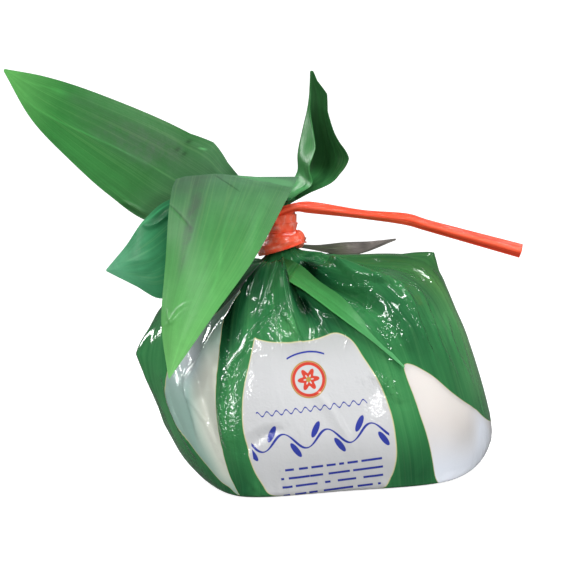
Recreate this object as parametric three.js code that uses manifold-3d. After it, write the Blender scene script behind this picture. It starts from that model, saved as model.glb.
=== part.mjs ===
// A burrata in its tied wrapper. The soft cheese sags in printed film, which is gathered to a neck,
// bound with a flat plastic ribbon, and ends above the ribbon in free leaf-shaped tips.
// Millimetres, +Z up. The front of the pack faces -Y. The origin is on the table, under the middle
// of the flat base.
import * as THREE from "three";
import { mergeVertices } from "three/addons/utils/BufferGeometryUtils.js";
import Module from "manifold-3d";

const wasm = await Module();
wasm.setup();

// ---- driving dimensions ----
const filmThickness = 0.5; // a free tip of film, thickened to a solid that can be handled
const ribbonThickness = 0.9;
const gap = 0.35; // kept between pieces that touch
const neckAxis = { x: -14.2, y: 0 };

const wrapperColumns = 84; // faces round the wrapper
const leafRows = 20; // faces along a free tip
const leafColumns = 6; // faces across a free tip

// ---- the filled wrapper ----
// Rings from the crumpled tuft above the ribbon down to the base. Each has the X of its middle, then
// its reach and its height in eight directions: right, back right, back, back left, left,
// front left, front, front right. One number serves all eight. Rows are the faces down to the next.
const wrapperRings = [
  { middle: -13.8, reach: 0.8, height: 101.2, rows: 1 }, // top of the tuft
  { middle: -13.8, reach: 5.6, height: 100.4, rows: 2 }, // rim of the tuft
  { middle: -14.2, reach: 4.2, height: 97.9, rows: 1 }, // inside the upper band
  { middle: -14.2, reach: 4.4, height: 86.6, rows: 1 }, // inside the lower band
  {
    middle: -14.4, // foot of the neck
    reach: [7.3, 7.2, 7, 7.2, 7.3, 7.2, 7, 7.2],
    height: [81.2, 80.2, 79.4, 79.2, 79.4, 79.5, 79.4, 80.2],
    rows: 2,
  },
  {
    middle: -13, // collar, where the gathers open
    reach: [17, 14, 12, 14, 17, 14.5, 12.5, 15],
    height: [78.8, 75.8, 74.5, 75.6, 77.2, 76, 74.4, 75.6],
    rows: 4,
  },
  {
    middle: -9, // shoulder: the loose film stands out in a corner on the right
    reach: [45.8, 36.5, 28, 34, 49, 31, 27, 37.5],
    height: [74.8, 70.5, 67, 67, 66.4, 66, 63.5, 68.4],
    rows: 4,
  },
  {
    middle: -4, // above the cheese: the film stands out in a corner on the left
    reach: [52.6, 48, 41, 48, 64.4, 45, 39.5, 50],
    height: [53.5, 52, 49, 48, 48.2, 49, 46, 51],
    rows: 4,
  },
  {
    middle: -1, // belly
    reach: [57.8, 56, 49, 54, 63.6, 53, 47, 56],
    height: [22, 24, 24, 25, 28, 24, 21, 22],
    rows: 4,
  },
  {
    middle: 1, // heel, where the film turns under
    reach: [56.2, 53.5, 45.5, 49, 57, 53.5, 43.5, 54],
    height: [6, 6, 6, 7, 8, 6, 4.6, 4.6],
    rows: 2,
  },
  { middle: 1, reach: [47, 46, 38, 42, 44, 50, 38.5, 50], height: 0, rows: 1 }, // rim of the base
  { middle: 1, reach: [24, 23, 19, 21, 22, 25, 19, 25], height: 0, rows: 0 }, // inside the base
];
const ring = { tuft: 1, waist: 2, foot: 4, heel: 9 };

// Large folds in the film. Each runs from one direction and ring to another, in degrees and rings,
// stands out by its height and is as wide as its spread, at its start and at its end. A lean above
// zero makes the side that turns with the angle steep.
const wrapperFolds = [
  { from: [266, 4.3], to: [262, 7.0], height: 5.2, spread: [4, 12], lean: 0.55 }, // middle of the front
  { from: [236, 4.4], to: [217, 7.3], height: 4.0, spread: [4, 11], lean: -0.3 },
  { from: [298, 4.6], to: [304, 7.2], height: -5.4, spread: [4, 10], lean: 0.3 }, // valley under the pleat
  { from: [316, 5.0], to: [316, 7.1], height: 4.4, spread: [6, 18], lean: -0.4 }, // dome beside it
  { from: [346, 4.8], to: [342, 6.9], height: -3.0, spread: [4, 10], lean: 0.2 },
  { from: [1, 5.75], to: [0, 6.6], height: 2.4, spread: [5, 5], lean: 0 }, // the corner on the right
  { from: [38, 4.6], to: [44, 7.3], height: 3.6, spread: [4, 13], lean: 0.4 },
  { from: [80, 4.5], to: [86, 7.4], height: 4.2, spread: [4, 12], lean: -0.4 },
  { from: [112, 4.6], to: [120, 7.0], height: -3.2, spread: [4, 11], lean: 0.2 },
  { from: [150, 4.5], to: [150, 7.1], height: 3.8, spread: [4, 12], lean: 0.4 },
  { from: [183, 6.4], to: [186, 7.8], height: 1.6, spread: [6, 7], lean: 0 }, // the corner on the left
  { from: [206, 6.6], to: [222, 9.0], height: -3.2, spread: [8, 12], lean: 0.2 }, // slack beside the cheese
];
// Fine gathers that leave the neck and fade over the shoulder.
const gathers = { count: 17, depth: 0.75, fadesAt: 6.4 };

function lerp(a, b, t) {
  return a + (b - a) * t;
}

function smooth(t) {
  const x = Math.min(1, Math.max(0, t));
  return x * x * (3 - 2 * x);
}

// A ring as a closed curve through its eight directions.
function ringCurve({ middle, reach, height }) {
  const points = [];
  for (let i = 0; i < 8; i++) {
    const angle = (i * Math.PI) / 4;
    const r = Array.isArray(reach) ? reach[i] : reach;
    const z = Array.isArray(height) ? height[i] : height;
    points.push(new THREE.Vector3(middle + r * Math.cos(angle), r * Math.sin(angle), z));
  }
  return new THREE.CatmullRomCurve3(points, true, "catmullrom", 0.5);
}
const ringCurves = wrapperRings.map(ringCurve);

// The smooth wrapper, without folds, at an angle in degrees and a place counted in rings.
function smoothWrapper(angle, place) {
  const turn = (((angle / 360) % 1) + 1) % 1;
  const at = Math.min(wrapperRings.length - 1.001, Math.max(0, place));
  const first = Math.floor(at);
  const [a, b, c, d] = [-1, 0, 1, 2].map((step) => {
    const index = Math.min(ringCurves.length - 1, Math.max(0, first + step));
    return ringCurves[index].getPoint(turn);
  });
  const t = at - first;
  const along = (p, q, r, s) =>
    q + 0.5 * t * (r - p + t * (2 * p - 5 * q + 4 * r - s + t * (3 * (q - r) + s - p)));
  const point = new THREE.Vector3(
    along(a.x, b.x, c.x, d.x),
    along(a.y, b.y, c.y, d.y),
    along(a.z, b.z, c.z, d.z),
  );
  point.z = Math.max(0, point.z);
  return point;
}

function outward(angle, place) {
  const round = smoothWrapper(angle + 2, place).sub(smoothWrapper(angle - 2, place));
  const down = smoothWrapper(angle, place + 0.05).sub(smoothWrapper(angle, place - 0.05));
  return down.cross(round).normalize();
}

// How far the folds and gathers lift the film off the smooth wrapper.
function foldLift(angle, place) {
  const point = smoothWrapper(angle, place);
  const reach = Math.hypot(point.x - lerp(neckAxis.x, 0, smooth((place - ring.foot) / 4)), point.y);
  let lift = 0;
  for (const fold of wrapperFolds) {
    const t = (place - fold.from[1]) / (fold.to[1] - fold.from[1]);
    if (t <= 0 || t >= 1) continue;
    const middle = lerp(fold.from[0], fold.to[0], t);
    const across = ((((angle - middle + 180) % 360) + 360) % 360) - 180;
    const side = across * fold.lean > 0 ? 1 - Math.abs(fold.lean) : 1;
    const share = (Math.abs((across * Math.PI) / 180) * reach) / (lerp(...fold.spread, t) * side);
    lift += fold.height * smooth(1 - share) * Math.sin(Math.PI * Math.pow(t, 0.7));
  }
  const opened = smooth((place - ring.foot + 0.4) / 0.8);
  const faded = smooth((place - ring.foot - 0.6) / (gathers.fadesAt - ring.foot - 0.6));
  const crumpled = smooth((ring.waist - 0.1 - place) / 0.6) * smooth((place - ring.tuft + 0.7) / 0.6);
  const turn = (angle * Math.PI) / 180;
  const uneven = turn + 0.16 * Math.sin(2 * turn + 1) + 0.1 * Math.sin(3 * turn);
  return lift + gathers.depth * (opened * (1 - faded) + crumpled) * Math.cos(gathers.count * uneven);
}

// A point on the wrapper's film, lifted off it by some millimetres.
function onWrapper(angle, place, clearance = 0) {
  const settled = 1 - smooth((place - ring.heel) / 0.9); // the base stays flat
  const point = smoothWrapper(angle, place);
  const lift = foldLift(angle, place) * settled + clearance;
  point.addScaledVector(outward(angle, place), lift);
  if (clearance === 0) point.z = Math.max(0, point.z);
  return point;
}

// ---- meshes from grids of points ----
function geometryOf(points, faces) {
  const geometry = new THREE.BufferGeometry();
  geometry.setAttribute("position", new THREE.Float32BufferAttribute(points.flatMap((p) => p.toArray()), 3));
  geometry.setIndex(faces.flat());
  return geometry;
}

// A closed body from loops of equal length, each shut at the ends with a fan to its middle.
function skinLoops(loops) {
  const count = loops[0].length;
  const points = loops.flat();
  const faces = [];
  for (let i = 0; i < loops.length - 1; i++) {
    for (let j = 0; j < count; j++) {
      const [a, b] = [i * count + j, i * count + ((j + 1) % count)];
      faces.push([a, a + count, b + count], [a, b + count, b]);
    }
  }
  for (const [loop, start, flip] of [
    [loops[0], 0, false],
    [loops[loops.length - 1], (loops.length - 1) * count, true],
  ]) {
    const centre = loop.reduce((sum, p) => sum.add(p), new THREE.Vector3()).divideScalar(count);
    points.push(centre);
    for (let j = 0; j < count; j++) {
      const [a, b] = [start + j, start + ((j + 1) % count)];
      faces.push(flip ? [b, a, points.length - 1] : [a, b, points.length - 1]);
    }
  }
  return geometryOf(points, faces);
}

// A thin closed sheet from a grid of points, rows along it and columns across. Both faces are split
// into triangles alike.
function thickenGrid(grid, thickness) {
  const [rows, columns] = [grid.length, grid[0].length];
  const clampRow = (i) => grid[Math.min(rows - 1, Math.max(0, i))];
  const at = (i, j) => clampRow(i)[Math.min(columns - 1, Math.max(0, j))];
  const points = [];
  for (const side of [1, -1]) {
    for (let i = 0; i < rows; i++) {
      for (let j = 0; j < columns; j++) {
        const along = at(i + 1, j).clone().sub(at(i - 1, j));
        const across = at(i, j + 1).clone().sub(at(i, j - 1));
        const normal = across.cross(along).normalize();
        points.push(at(i, j).clone().addScaledVector(normal, (side * thickness) / 2));
      }
    }
  }
  const half = rows * columns;
  const id = (i, j) => i * columns + j;
  const faces = [];
  for (let i = 0; i < rows - 1; i++) {
    for (let j = 0; j < columns - 1; j++) {
      const [a, b, c, d] = [id(i, j), id(i, j + 1), id(i + 1, j + 1), id(i + 1, j)];
      faces.push([a, b, c], [a, c, d], [half + a, half + c, half + b], [half + a, half + d, half + c]);
    }
  }
  const rim = [];
  for (let j = 0; j < columns - 1; j++) rim.push([id(0, j + 1), id(0, j)]);
  for (let i = 0; i < rows - 1; i++) rim.push([id(i, 0), id(i + 1, 0)]);
  for (let j = 0; j < columns - 1; j++) rim.push([id(rows - 1, j), id(rows - 1, j + 1)]);
  for (let i = 0; i < rows - 1; i++) rim.push([id(i + 1, columns - 1), id(i, columns - 1)]);
  for (const [a, b] of rim) faces.push([a, b, half + b], [a, half + b, half + a]);
  return geometryOf(points, faces);
}

// A smooth curve through points. One with a fold is two curves that meet in a corner at that point.
function lineCurve(line, foldAt) {
  const curveOf = (part) =>
    new THREE.CatmullRomCurve3(part.map((p) => new THREE.Vector3(...p)), false, "centripetal");
  if (!foldAt) return curveOf(line);
  const before = curveOf(line.slice(0, foldAt + 1));
  const after = curveOf(line.slice(foldAt));
  const share = foldAt / (line.length - 1);
  const folded = new THREE.Curve();
  folded.getPoint = (t) => (t < share ? before.getPoint(t / share) : after.getPoint((t - share) / (1 - share)));
  return folded;
}

// A sheet between curves that run lengthwise side by side, each given by as many points as the
// others. It stands out by its bulge in the middle, past its fold if it has one, and its edges ripple.
function loftGrid(lines, { rows = leafRows, columns = leafColumns, bulge = 0, ripple = 0, foldAt = 0 } = {}) {
  const curves = lines.map((line) => lineCurve(line, foldAt));
  const share = foldAt / (lines[0].length - 1);
  const grid = [];
  for (let i = 0; i <= rows; i++) {
    const t = i / rows;
    const section = new THREE.CatmullRomCurve3(curves.map((curve) => curve.getPoint(t)));
    const across = section.getPoint(1).sub(section.getPoint(0));
    const out = curves[0].getTangent(t).add(curves.at(-1).getTangent(t)).cross(across).normalize();
    const row = [];
    for (let j = 0; j <= columns; j++) {
      const u = j / columns;
      const wave = ripple * Math.sin(3 * Math.PI * t + 2.2 * u) * Math.abs(2 * u - 1);
      const swell = Math.sin((Math.PI * Math.max(0, t - share)) / (1 - share));
      const lift = (4 * bulge * u * (1 - u) + wave) * swell;
      row.push(section.getPoint(u).addScaledVector(out, lift));
    }
    grid.push(row);
  }
  return grid;
}

// ---- joining and cutting ----
function solidOf(geometry) {
  const bare = geometry.clone();
  bare.deleteAttribute("normal");
  bare.deleteAttribute("uv");
  const merged = mergeVertices(bare, 1e-4);
  return new wasm.Manifold(
    new wasm.Mesh({
      numProp: 3,
      vertProperties: merged.attributes.position.array,
      triVerts: new Uint32Array(merged.index.array),
    }),
  );
}

function geometryOfSolid(solid) {
  const { vertProperties, triVerts } = solid.getMesh();
  const geometry = new THREE.BufferGeometry();
  geometry.setAttribute("position", new THREE.BufferAttribute(vertProperties, 3));
  geometry.setIndex(new THREE.BufferAttribute(triVerts, 1));
  return geometry;
}

// The largest body of a solid, without the scraps that a cut leaves.
function largestBody(solid) {
  return solid.decompose().reduce((best, body) => (body.volume() > best.volume() ? body : best));
}

// ---- the wrapper ----
function wrapperGeometry(clearance) {
  const loops = [];
  wrapperRings.forEach(({ rows }, index) => {
    for (let i = 0; i < Math.max(rows, 1); i++) {
      const place = index + (rows ? i / rows : 0);
      const loop = [];
      for (let j = 0; j < wrapperColumns; j++) {
        loop.push(onWrapper((j * 360) / wrapperColumns, place, clearance));
      }
      loops.push(loop);
    }
  });
  return skinLoops(loops);
}

// ---- the ribbon: two bands round the neck, a crushed knot on the right and one long end ----
// A band's edges rise towards the right. Its wall is drawn in and out by creases.
const ribbonBands = [
  { bottom: 88.2, top: 97.4, rise: 0.4, radius: [5.8, 5.6], bulge: 0.3, creases: 7, depth: 0.25 },
  { bottom: 82.5, top: 88.6, rise: 2.0, radius: [8.9, 6.0], bulge: 0.9, creases: 5, depth: 0.3 },
];
const bandColumns = 40;
const knot = { centre: [-8.1, -2.6, 85.8], size: [2.4, 2.4, 3.2], lean: 25 };
// The long end, a strip folded lengthwise: where its middle runs, and its width there.
const ribbonEnd = {
  middle: [[-15, -5.4, 96], [-8, -4.8, 97.5], [-4, -4.3, 97.2], [16, -6.1, 93.1], [32, -8.2, 90.1],
    [38, -9.2, 87.8], [71.2, -12.1, 76]],
  width: [2.8, 2.8, 3.8, 2.8, 3.9, 3.7, 4.7],
  foldDepth: 1.6,
};

function bandGeometry({ bottom, top, rise, radius, bulge, creases, depth }) {
  const loops = [];
  for (let j = 0; j < bandColumns; j++) {
    const angle = (j * 2 * Math.PI) / bandColumns;
    const wall = (share, inward) => {
      const crease = depth * Math.sin(creases * angle + 5 * share) * Math.sin(Math.PI * share);
      const filled = bulge * Math.sin(Math.PI * share);
      const r = lerp(...radius, share) + crease + filled - (inward ? ribbonThickness : 0);
      return new THREE.Vector3(
        neckAxis.x + r * Math.cos(angle),
        neckAxis.y + r * Math.sin(angle),
        lerp(bottom + rise * Math.cos(angle), top + 0.3 * Math.cos(angle), share),
      );
    };
    const outside = [0, 0.5, 1].map((share) => wall(share, false));
    const inside = [1, 0.5, 0].map((share) => wall(share, true));
    loops.push([...outside, ...inside]);
  }
  return ringOfLoops(loops);
}

// A closed band: loops of equal length joined round, the last to the first.
function ringOfLoops(loops) {
  const count = loops[0].length;
  const faces = [];
  for (let i = 0; i < loops.length; i++) {
    const next = ((i + 1) % loops.length) * count;
    for (let j = 0; j < count; j++) {
      const [a, b] = [i * count + j, i * count + ((j + 1) % count)];
      const [c, d] = [next + ((j + 1) % count), next + j];
      faces.push([a, d, c], [a, c, b]);
    }
  }
  return geometryOf(loops.flat(), faces);
}

function knotGeometry() {
  const geometry = new THREE.SphereGeometry(1, 14, 8);
  geometry.scale(...knot.size);
  geometry.rotateY(THREE.MathUtils.degToRad(knot.lean));
  geometry.translate(...knot.centre);
  return geometry;
}

// The strip's edges lie above and below its middle, and its crease in front.
function ribbonEndGeometry() {
  const points = ribbonEnd.middle.map((p) => new THREE.Vector3(...p));
  const lines = [1, 0, -1].map((side) =>
    points.map((point, i) => {
      const before = points[Math.max(0, i - 1)];
      const after = points[Math.min(points.length - 1, i + 1)];
      const up = new THREE.Vector3(before.z - after.z, 0, after.x - before.x).normalize();
      const moved = point.clone().addScaledVector(up, (side * ribbonEnd.width[i]) / 2);
      if (side === 0) moved.y -= ribbonEnd.foldDepth;
      return moved.toArray();
    }),
  );
  return thickenGrid(loftGrid(lines, { rows: 24, columns: 4 }), ribbonThickness);
}

// ---- the free tips of film ----
// Each is a sheet between two edges that leave the neck together and meet at the tip. The edges are
// given at the same stations. A bulge stands the sheet out between them, forwards or upwards.
const freeTips = {
  // long tip, up and to the left
  tip_long_left: {
    lines: [
      [[-16.4, 3.6, 102], [-25, 5.5, 106.5], [-36.4, 8.4, 120.8], [-50, 10.2, 130.4], [-78, 10, 144.4],
        [-97, 8.6, 151.9], [-110.4, 6, 155.6]],
      [[-17, 1.6, 99.2], [-36, 0.6, 94.6], [-61, -0.8, 96], [-76, 0, 107], [-90, 2, 121.5],
        [-102, 4, 136.6], [-110.8, 6, 154.8]],
    ],
    bulge: 1.5,
    ripple: 1,
  },
  // broad tip that rises behind its fold and hangs down over the front
  tip_folded_front: {
    lines: [
      [[-15.8, -5, 101.6], [-34, -6, 106.5], [-50.8, -8.6, 111.6], [-53, -15, 101.5], [-55.4, -22, 82],
        [-57.8, -28.5, 61], [-56.8, -33, 43.6]],
      [[-11.6, -5, 102], [-9, -6, 105.4], [-6.5, -9.6, 108.5], [-11.4, -16, 100.6], [-24, -29.4, 81.6],
        [-40, -39.2, 63.6], [-56.4, -33.8, 43.1]],
    ],
    bulge: 3,
    ripple: 0.5,
    foldAt: 2, // the point of each edge where the tip turns over
    rows: 27,
  },
  // short corner of film on the left, behind the folded tip
  tip_corner_left: {
    lines: [
      [[-17.8, -3.6, 101.2], [-34, -8, 102], [-52.7, -9.8, 104], [-62.7, -10.5, 97.4], [-70, -8.6, 88.6],
        [-78.4, -6, 80.3]],
      [[-17.8, -4.4, 99.2], [-31, -8.4, 86.5], [-46, -12, 75.5], [-58.1, -12.8, 68.9], [-68, -10, 74],
        [-78.4, -6, 79.7]],
    ],
    bulge: 2,
    ripple: 0.4,
    rows: 16,
  },
  // upright tip on the right, rolled lengthwise: its right side, its back, its left side and the
  // edge that is rolled forward
  tip_upright_right: {
    lines: [
      [[-9.4, -0.6, 101.4], [-2.5, -1, 102.8], [7, -3, 106.4], [11.2, -4, 113.7], [7.6, -2.6, 124],
        [4.8, 0.4, 137], [2.1, 2, 145.8]],
      [[-9.8, 2.2, 102], [-5, 4.8, 105.4], [0, 6.2, 109], [2.6, 6.4, 115], [3, 6, 124], [2.8, 4.4, 135],
        [1.6, 2.4, 146.2]],
      [[-10.8, 3, 102], [-8.4, 4.2, 105.4], [-6.3, 5, 109.8], [-5.6, 5, 117], [-3.4, 5, 125], [-0.4, 4, 135],
        [1.2, 2.2, 146.2]],
      [[-10.6, -1.8, 102], [-5.4, -4.8, 103], [-1.4, -6, 105.6], [-1.7, -5, 112], [0.4, -2.6, 119.6],
        [-0.2, 1.2, 132], [0.9, 1.9, 145.8]],
    ],
    columns: 7,
  },
  // tip that lies back over the right shoulder, plain side up
  tip_back_right: {
    lines: [
      [[-8.6, 4.4, 82.4], [1.8, 9.6, 79.2], [15.4, 17, 77.2], [30.1, 31.4, 80.2]],
      [[-10.8, 6.4, 83.4], [0.2, 20, 81.6], [14, 29.2, 80.5], [30.1, 32.4, 80.6]],
    ],
    bulge: 0.8,
    ripple: 0.4,
    rows: 14,
  },
  // narrow pleat that leaves the neck and lies down over the front
  pleat_front: {
    lines: [
      [[-14.1, -9.5, 79.8], [-9.1, -11, 77.7], [-1.8, -20.5, 71.4], [5.5, -28.5, 66], [14, -36.9, 55.5],
        [24.4, -42.6, 42.4]],
      [[-14.7, -10.4, 78.5], [-13.9, -20, 73.6], [-7.9, -25.5, 69.4], [2.9, -35.5, 60.9], [13.5, -41, 52.2],
        [24.1, -42.9, 42]],
    ],
    rows: 16,
    columns: 4,
  },
};

// What the free tips keep clear of: the bound neck, a little larger than the ribbon.
const neckRoom = { round: 1, below: 2.6, above: 0.9, segments: 32 };

function boundNeck() {
  const [upper, lower] = ribbonBands;
  const [low, top] = [lower.bottom - neckRoom.below, upper.top + neckRoom.above];
  return turned(
    [
      [0, low],
      [lower.radius[0] + neckRoom.round, low],
      [lower.radius[0] + neckRoom.round, lerp(lower.bottom, lower.top, 0.5)],
      [upper.radius[0] + neckRoom.round, lower.top + neckRoom.above],
      [upper.radius[1] + neckRoom.round, top],
      [0, top],
    ],
    neckRoom.segments,
  );
}

function turned(outline, segments) {
  const geometry = new THREE.LatheGeometry(outline.map(([r, z]) => new THREE.Vector2(r, z)), segments);
  geometry.rotateX(Math.PI / 2);
  geometry.translate(neckAxis.x, neckAxis.y, 0);
  return solidOf(geometry);
}

// ---- the pieces ----
const film = new THREE.MeshStandardMaterial({ color: 0x2f8a45, roughness: 0.25, metalness: 0 });
const tipFilm = new THREE.MeshStandardMaterial({ color: 0x4ba354, roughness: 0.4, metalness: 0 });
const plainFilm = new THREE.MeshStandardMaterial({ color: 0x8a8580, roughness: 0.35, metalness: 0 });
const redPlastic = new THREE.MeshStandardMaterial({ color: 0xe8452a, roughness: 0.3, metalness: 0 });

const pack = new THREE.Group();
function addPiece(name, solid, material) {
  const mesh = new THREE.Mesh(geometryOfSolid(solid), material);
  mesh.name = name;
  pack.add(mesh);
}

const wrapper = solidOf(wrapperGeometry(0));
const roundWrapper = solidOf(wrapperGeometry(gap));
addPiece("wrapper", wrapper, film);

const knotAndEnd = [knotGeometry(), ribbonEndGeometry()].map(solidOf);
const bands = ribbonBands.map(bandGeometry).map(solidOf);
const loose = knotAndEnd[0].add(knotAndEnd[1]).subtract(roundWrapper);
addPiece("ribbon", loose.add(bands[0]).add(bands[1]), redPlastic);

const keptClear = boundNeck();
for (const [name, { lines, ...shape }] of Object.entries(freeTips)) {
  const sheet = solidOf(thickenGrid(loftGrid(lines, shape), filmThickness));
  const trimmed = largestBody(sheet.subtract(roundWrapper).subtract(keptClear));
  addPiece(name, trimmed, name === "tip_back_right" ? plainFilm : tipFilm);
}

export default pack;
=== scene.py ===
import math

import bpy
import numpy as np
from mathutils import Matrix, Vector


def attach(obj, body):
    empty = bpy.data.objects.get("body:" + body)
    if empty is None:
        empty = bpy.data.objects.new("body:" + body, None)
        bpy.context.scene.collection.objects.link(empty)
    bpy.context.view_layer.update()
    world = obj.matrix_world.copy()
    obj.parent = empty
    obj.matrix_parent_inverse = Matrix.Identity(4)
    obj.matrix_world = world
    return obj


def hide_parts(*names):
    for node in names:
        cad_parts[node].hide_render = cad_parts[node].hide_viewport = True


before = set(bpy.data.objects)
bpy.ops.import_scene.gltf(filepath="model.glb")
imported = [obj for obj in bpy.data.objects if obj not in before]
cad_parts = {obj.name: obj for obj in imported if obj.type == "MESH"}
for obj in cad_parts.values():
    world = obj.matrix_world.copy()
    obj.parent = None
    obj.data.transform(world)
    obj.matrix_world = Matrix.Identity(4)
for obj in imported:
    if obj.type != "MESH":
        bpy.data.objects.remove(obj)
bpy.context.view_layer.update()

mm = 0.001  # shapes are worked out in millimetres and placed in metres


def lerp(a, b, t):
    return a + (b - a) * t


def smooth(t):
    t = np.clip(t, 0, 1)
    return t * t * (3 - 2 * t)


def turnBetween(a, b):
    # degrees from b to a, the short way round
    return (a - b + 180) % 360 - 180


def catmull(a, b, c, d, t):
    return b + 0.5 * t * (c - a + t * (2 * a - 5 * b + 4 * c - d + t * (3 * (b - c) + d - a)))


def curveAt(points, t):
    # a centripetal curve through points, each one place or one place for every t
    points = np.asarray(points, float)
    if points.ndim == 2:
        points = np.repeat(points[:, None, :], len(t), axis=1)
    points = np.concatenate([2 * points[:1] - points[1:2], points, 2 * points[-1:] - points[-2:-1]])
    at = np.clip(t, 0, 1) * (len(points) - 3)
    first = np.minimum(at.astype(int), len(points) - 4)
    w = (at - first)[:, None]
    each = np.arange(len(t))
    a, b, c, d = (points[first + step, each] for step in range(4))
    before, here, after = (
        np.sqrt(np.maximum(np.linalg.norm(q - p, axis=1, keepdims=True), 1e-6))
        for p, q in ((a, b), (b, c), (c, d))
    )
    leave = ((b - a) / before - (c - a) / (before + here) + (c - b) / here) * here
    arrive = ((c - b) / here - (d - b) / (here + after) + (d - c) / after) * here
    return b + w * (leave + w * (3 * (c - b) - 2 * leave - arrive + w * (2 * (b - c) + leave + arrive)))


def lengthOf(vectors):
    return np.linalg.norm(vectors, axis=-1, keepdims=True)


def selectOnly(piece):
    bpy.ops.object.select_all(action="DESELECT")
    piece.select_set(True)
    bpy.context.view_layer.objects.active = piece


def verticesOf(piece):
    flat = np.empty(len(piece.data.vertices) * 3)
    piece.data.vertices.foreach_get("co", flat)
    return flat.reshape(-1, 3)


def gridPiece(name, across, along):
    # a flat grid to start from: s runs across it and t along it, from 0 to 1
    bpy.ops.object.select_all(action="DESELECT")
    bpy.ops.mesh.primitive_grid_add(x_subdivisions=across, y_subdivisions=along, size=1, calc_uvs=True)
    piece = bpy.context.object
    piece.name = piece.data.name = name
    flat = verticesOf(piece)
    return piece, flat[:, 0] + 0.5, flat[:, 1] + 0.5


def spherePiece(name, around, rings):
    # a round ball to start from, with the way from its middle to each vertex
    bpy.ops.object.select_all(action="DESELECT")
    bpy.ops.mesh.primitive_uv_sphere_add(segments=around, ring_count=rings, radius=1)
    piece = bpy.context.object
    piece.name = piece.data.name = name
    return piece, verticesOf(piece)


def placeVertices(piece, places):
    piece.data.vertices.foreach_set("co", (np.asarray(places) * mm).ravel())
    piece.data.update()


def mapPiece(piece, u, v):
    # the piece's own map, one place for each vertex
    corners = np.empty(len(piece.data.loops), np.int32)
    piece.data.loops.foreach_get("vertex_index", corners)
    piece.data.uv_layers.active.data.foreach_set("uv", np.stack([u[corners], v[corners]], axis=1).ravel())


def spots(s, t, marks):
    # soft round marks added up, each (s, t, reach in s, reach in t, amount)
    total = np.zeros(len(s))
    for middleS, middleT, wide, high, amount in marks:
        total += amount * np.exp(-((s - middleS) / wide) ** 2 - ((t - middleT) / high) ** 2)
    return total


def filmSpots(angle, place, marks):
    # the same on the film, where the angle goes the short way round
    total = np.zeros(len(angle))
    for middleAngle, middlePlace, wide, high, amount in marks:
        around = turnBetween(angle, middleAngle) / wide
        total += amount * np.exp(-around ** 2 - ((place - middlePlace) / high) ** 2)
    return total


def addField(piece, name, values):
    field = piece.data.attributes.new(name, "FLOAT", "POINT")
    field.data.foreach_set("value", np.asarray(values, np.float32))


def closeShell(piece):
    selectOnly(piece)
    bpy.ops.object.mode_set(mode="EDIT")
    bpy.ops.mesh.select_all(action="SELECT")
    bpy.ops.mesh.remove_doubles(threshold=1e-6)
    bpy.ops.mesh.normals_make_consistent(inside=False)
    bpy.ops.object.mode_set(mode="OBJECT")
    bpy.ops.object.shade_smooth()


def applyModifier(piece, kind, **settings):
    selectOnly(piece)
    modifier = piece.modifiers.new(kind.title(), kind)
    for key, value in settings.items():
        setattr(modifier, key, value)
    bpy.ops.object.modifier_apply(modifier=modifier.name)


def thicken(piece, thickness, **settings):
    applyModifier(piece, "SOLIDIFY", thickness=thickness * mm, **settings)
    bpy.ops.object.shade_smooth_by_angle(angle=math.radians(40))


def finishPiece(piece, slot, nodes, *materials):
    for material in materials:
        piece.data.materials.append(material)
    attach(piece, "root")
    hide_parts(*nodes)
    print(f"{piece.name}: {len(piece.data.polygons)} faces")


def plug(node, inputs):
    # a socket is linked and a plain value is set
    for key, value in inputs.items():
        if isinstance(value, bpy.types.NodeSocket):
            node.id_data.links.new(value, node.inputs[key])
        else:
            node.inputs[key].default_value = value
    return node


def addNode(tree, kind, inputs=None, **settings):
    made = tree.nodes.new(kind)
    for key, value in settings.items():
        setattr(made, key, value)
    return plug(made, inputs or {})


def treeOf(*values):
    return next(value.id_data for value in values if isinstance(value, bpy.types.NodeSocket))


def calc(operation, *values, clamp=False):
    inputs = dict(enumerate(values))
    return addNode(treeOf(*values), "ShaderNodeMath", inputs, operation=operation, use_clamp=clamp).outputs[0]


def chained(operation):
    # the same sum over two values or more, one after the other
    def over(first, *others, clamp=False):
        for value in others:
            first = calc(operation, first, value, clamp=clamp)
        return first
    return over


plus, minus, times, most = (chained(operation) for operation in ("ADD", "SUBTRACT", "MULTIPLY", "MAXIMUM"))


def mixColour(share, a, b, blend="MIX"):
    inputs = {0: share, 6: a, 7: b}
    made = addNode(treeOf(share, a, b), "ShaderNodeMix", inputs, data_type="RGBA", blend_type=blend)
    return made.outputs[2]


def stepAt(value, low, high):
    # 0 below low, 1 above high, smooth between them
    inputs = {"Value": value, "From Min": low, "From Max": high}
    return addNode(treeOf(value), "ShaderNodeMapRange", inputs, interpolation_type="SMOOTHSTEP").outputs[0]


def partsOf(vector):
    return addNode(treeOf(vector), "ShaderNodeSeparateXYZ", {0: vector}).outputs


def joined(x, y, z=0.0):
    return addNode(treeOf(x, y, z), "ShaderNodeCombineXYZ", {0: x, 1: y, 2: z}).outputs[0]


def noiseOf(vector, scale, detail, roughness=0.5, distortion=0.0):
    made = addNode(treeOf(vector), "ShaderNodeTexNoise", {
        "Vector": vector, "Scale": scale, "Detail": detail, "Roughness": roughness, "Distortion": distortion})
    return made.outputs["Fac"]


def bumpOf(height, strength, distance):
    inputs = {"Height": height, "Strength": strength, "Distance": distance}
    return addNode(treeOf(height), "ShaderNodeBump", inputs).outputs[0]


def fieldOf(tree, name):
    return addNode(tree, "ShaderNodeAttribute", attribute_name=name).outputs["Fac"]


def colourSteps(share, stops):
    made = addNode(treeOf(share), "ShaderNodeValToRGB", {"Fac": share})
    elements = made.color_ramp.elements
    while len(elements) < len(stops):
        elements.new(0.5)
    for element, (place, colour) in zip(elements, stops):
        element.position = place
        element.color = (*colour, 1)
    return made.outputs["Color"]


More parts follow.
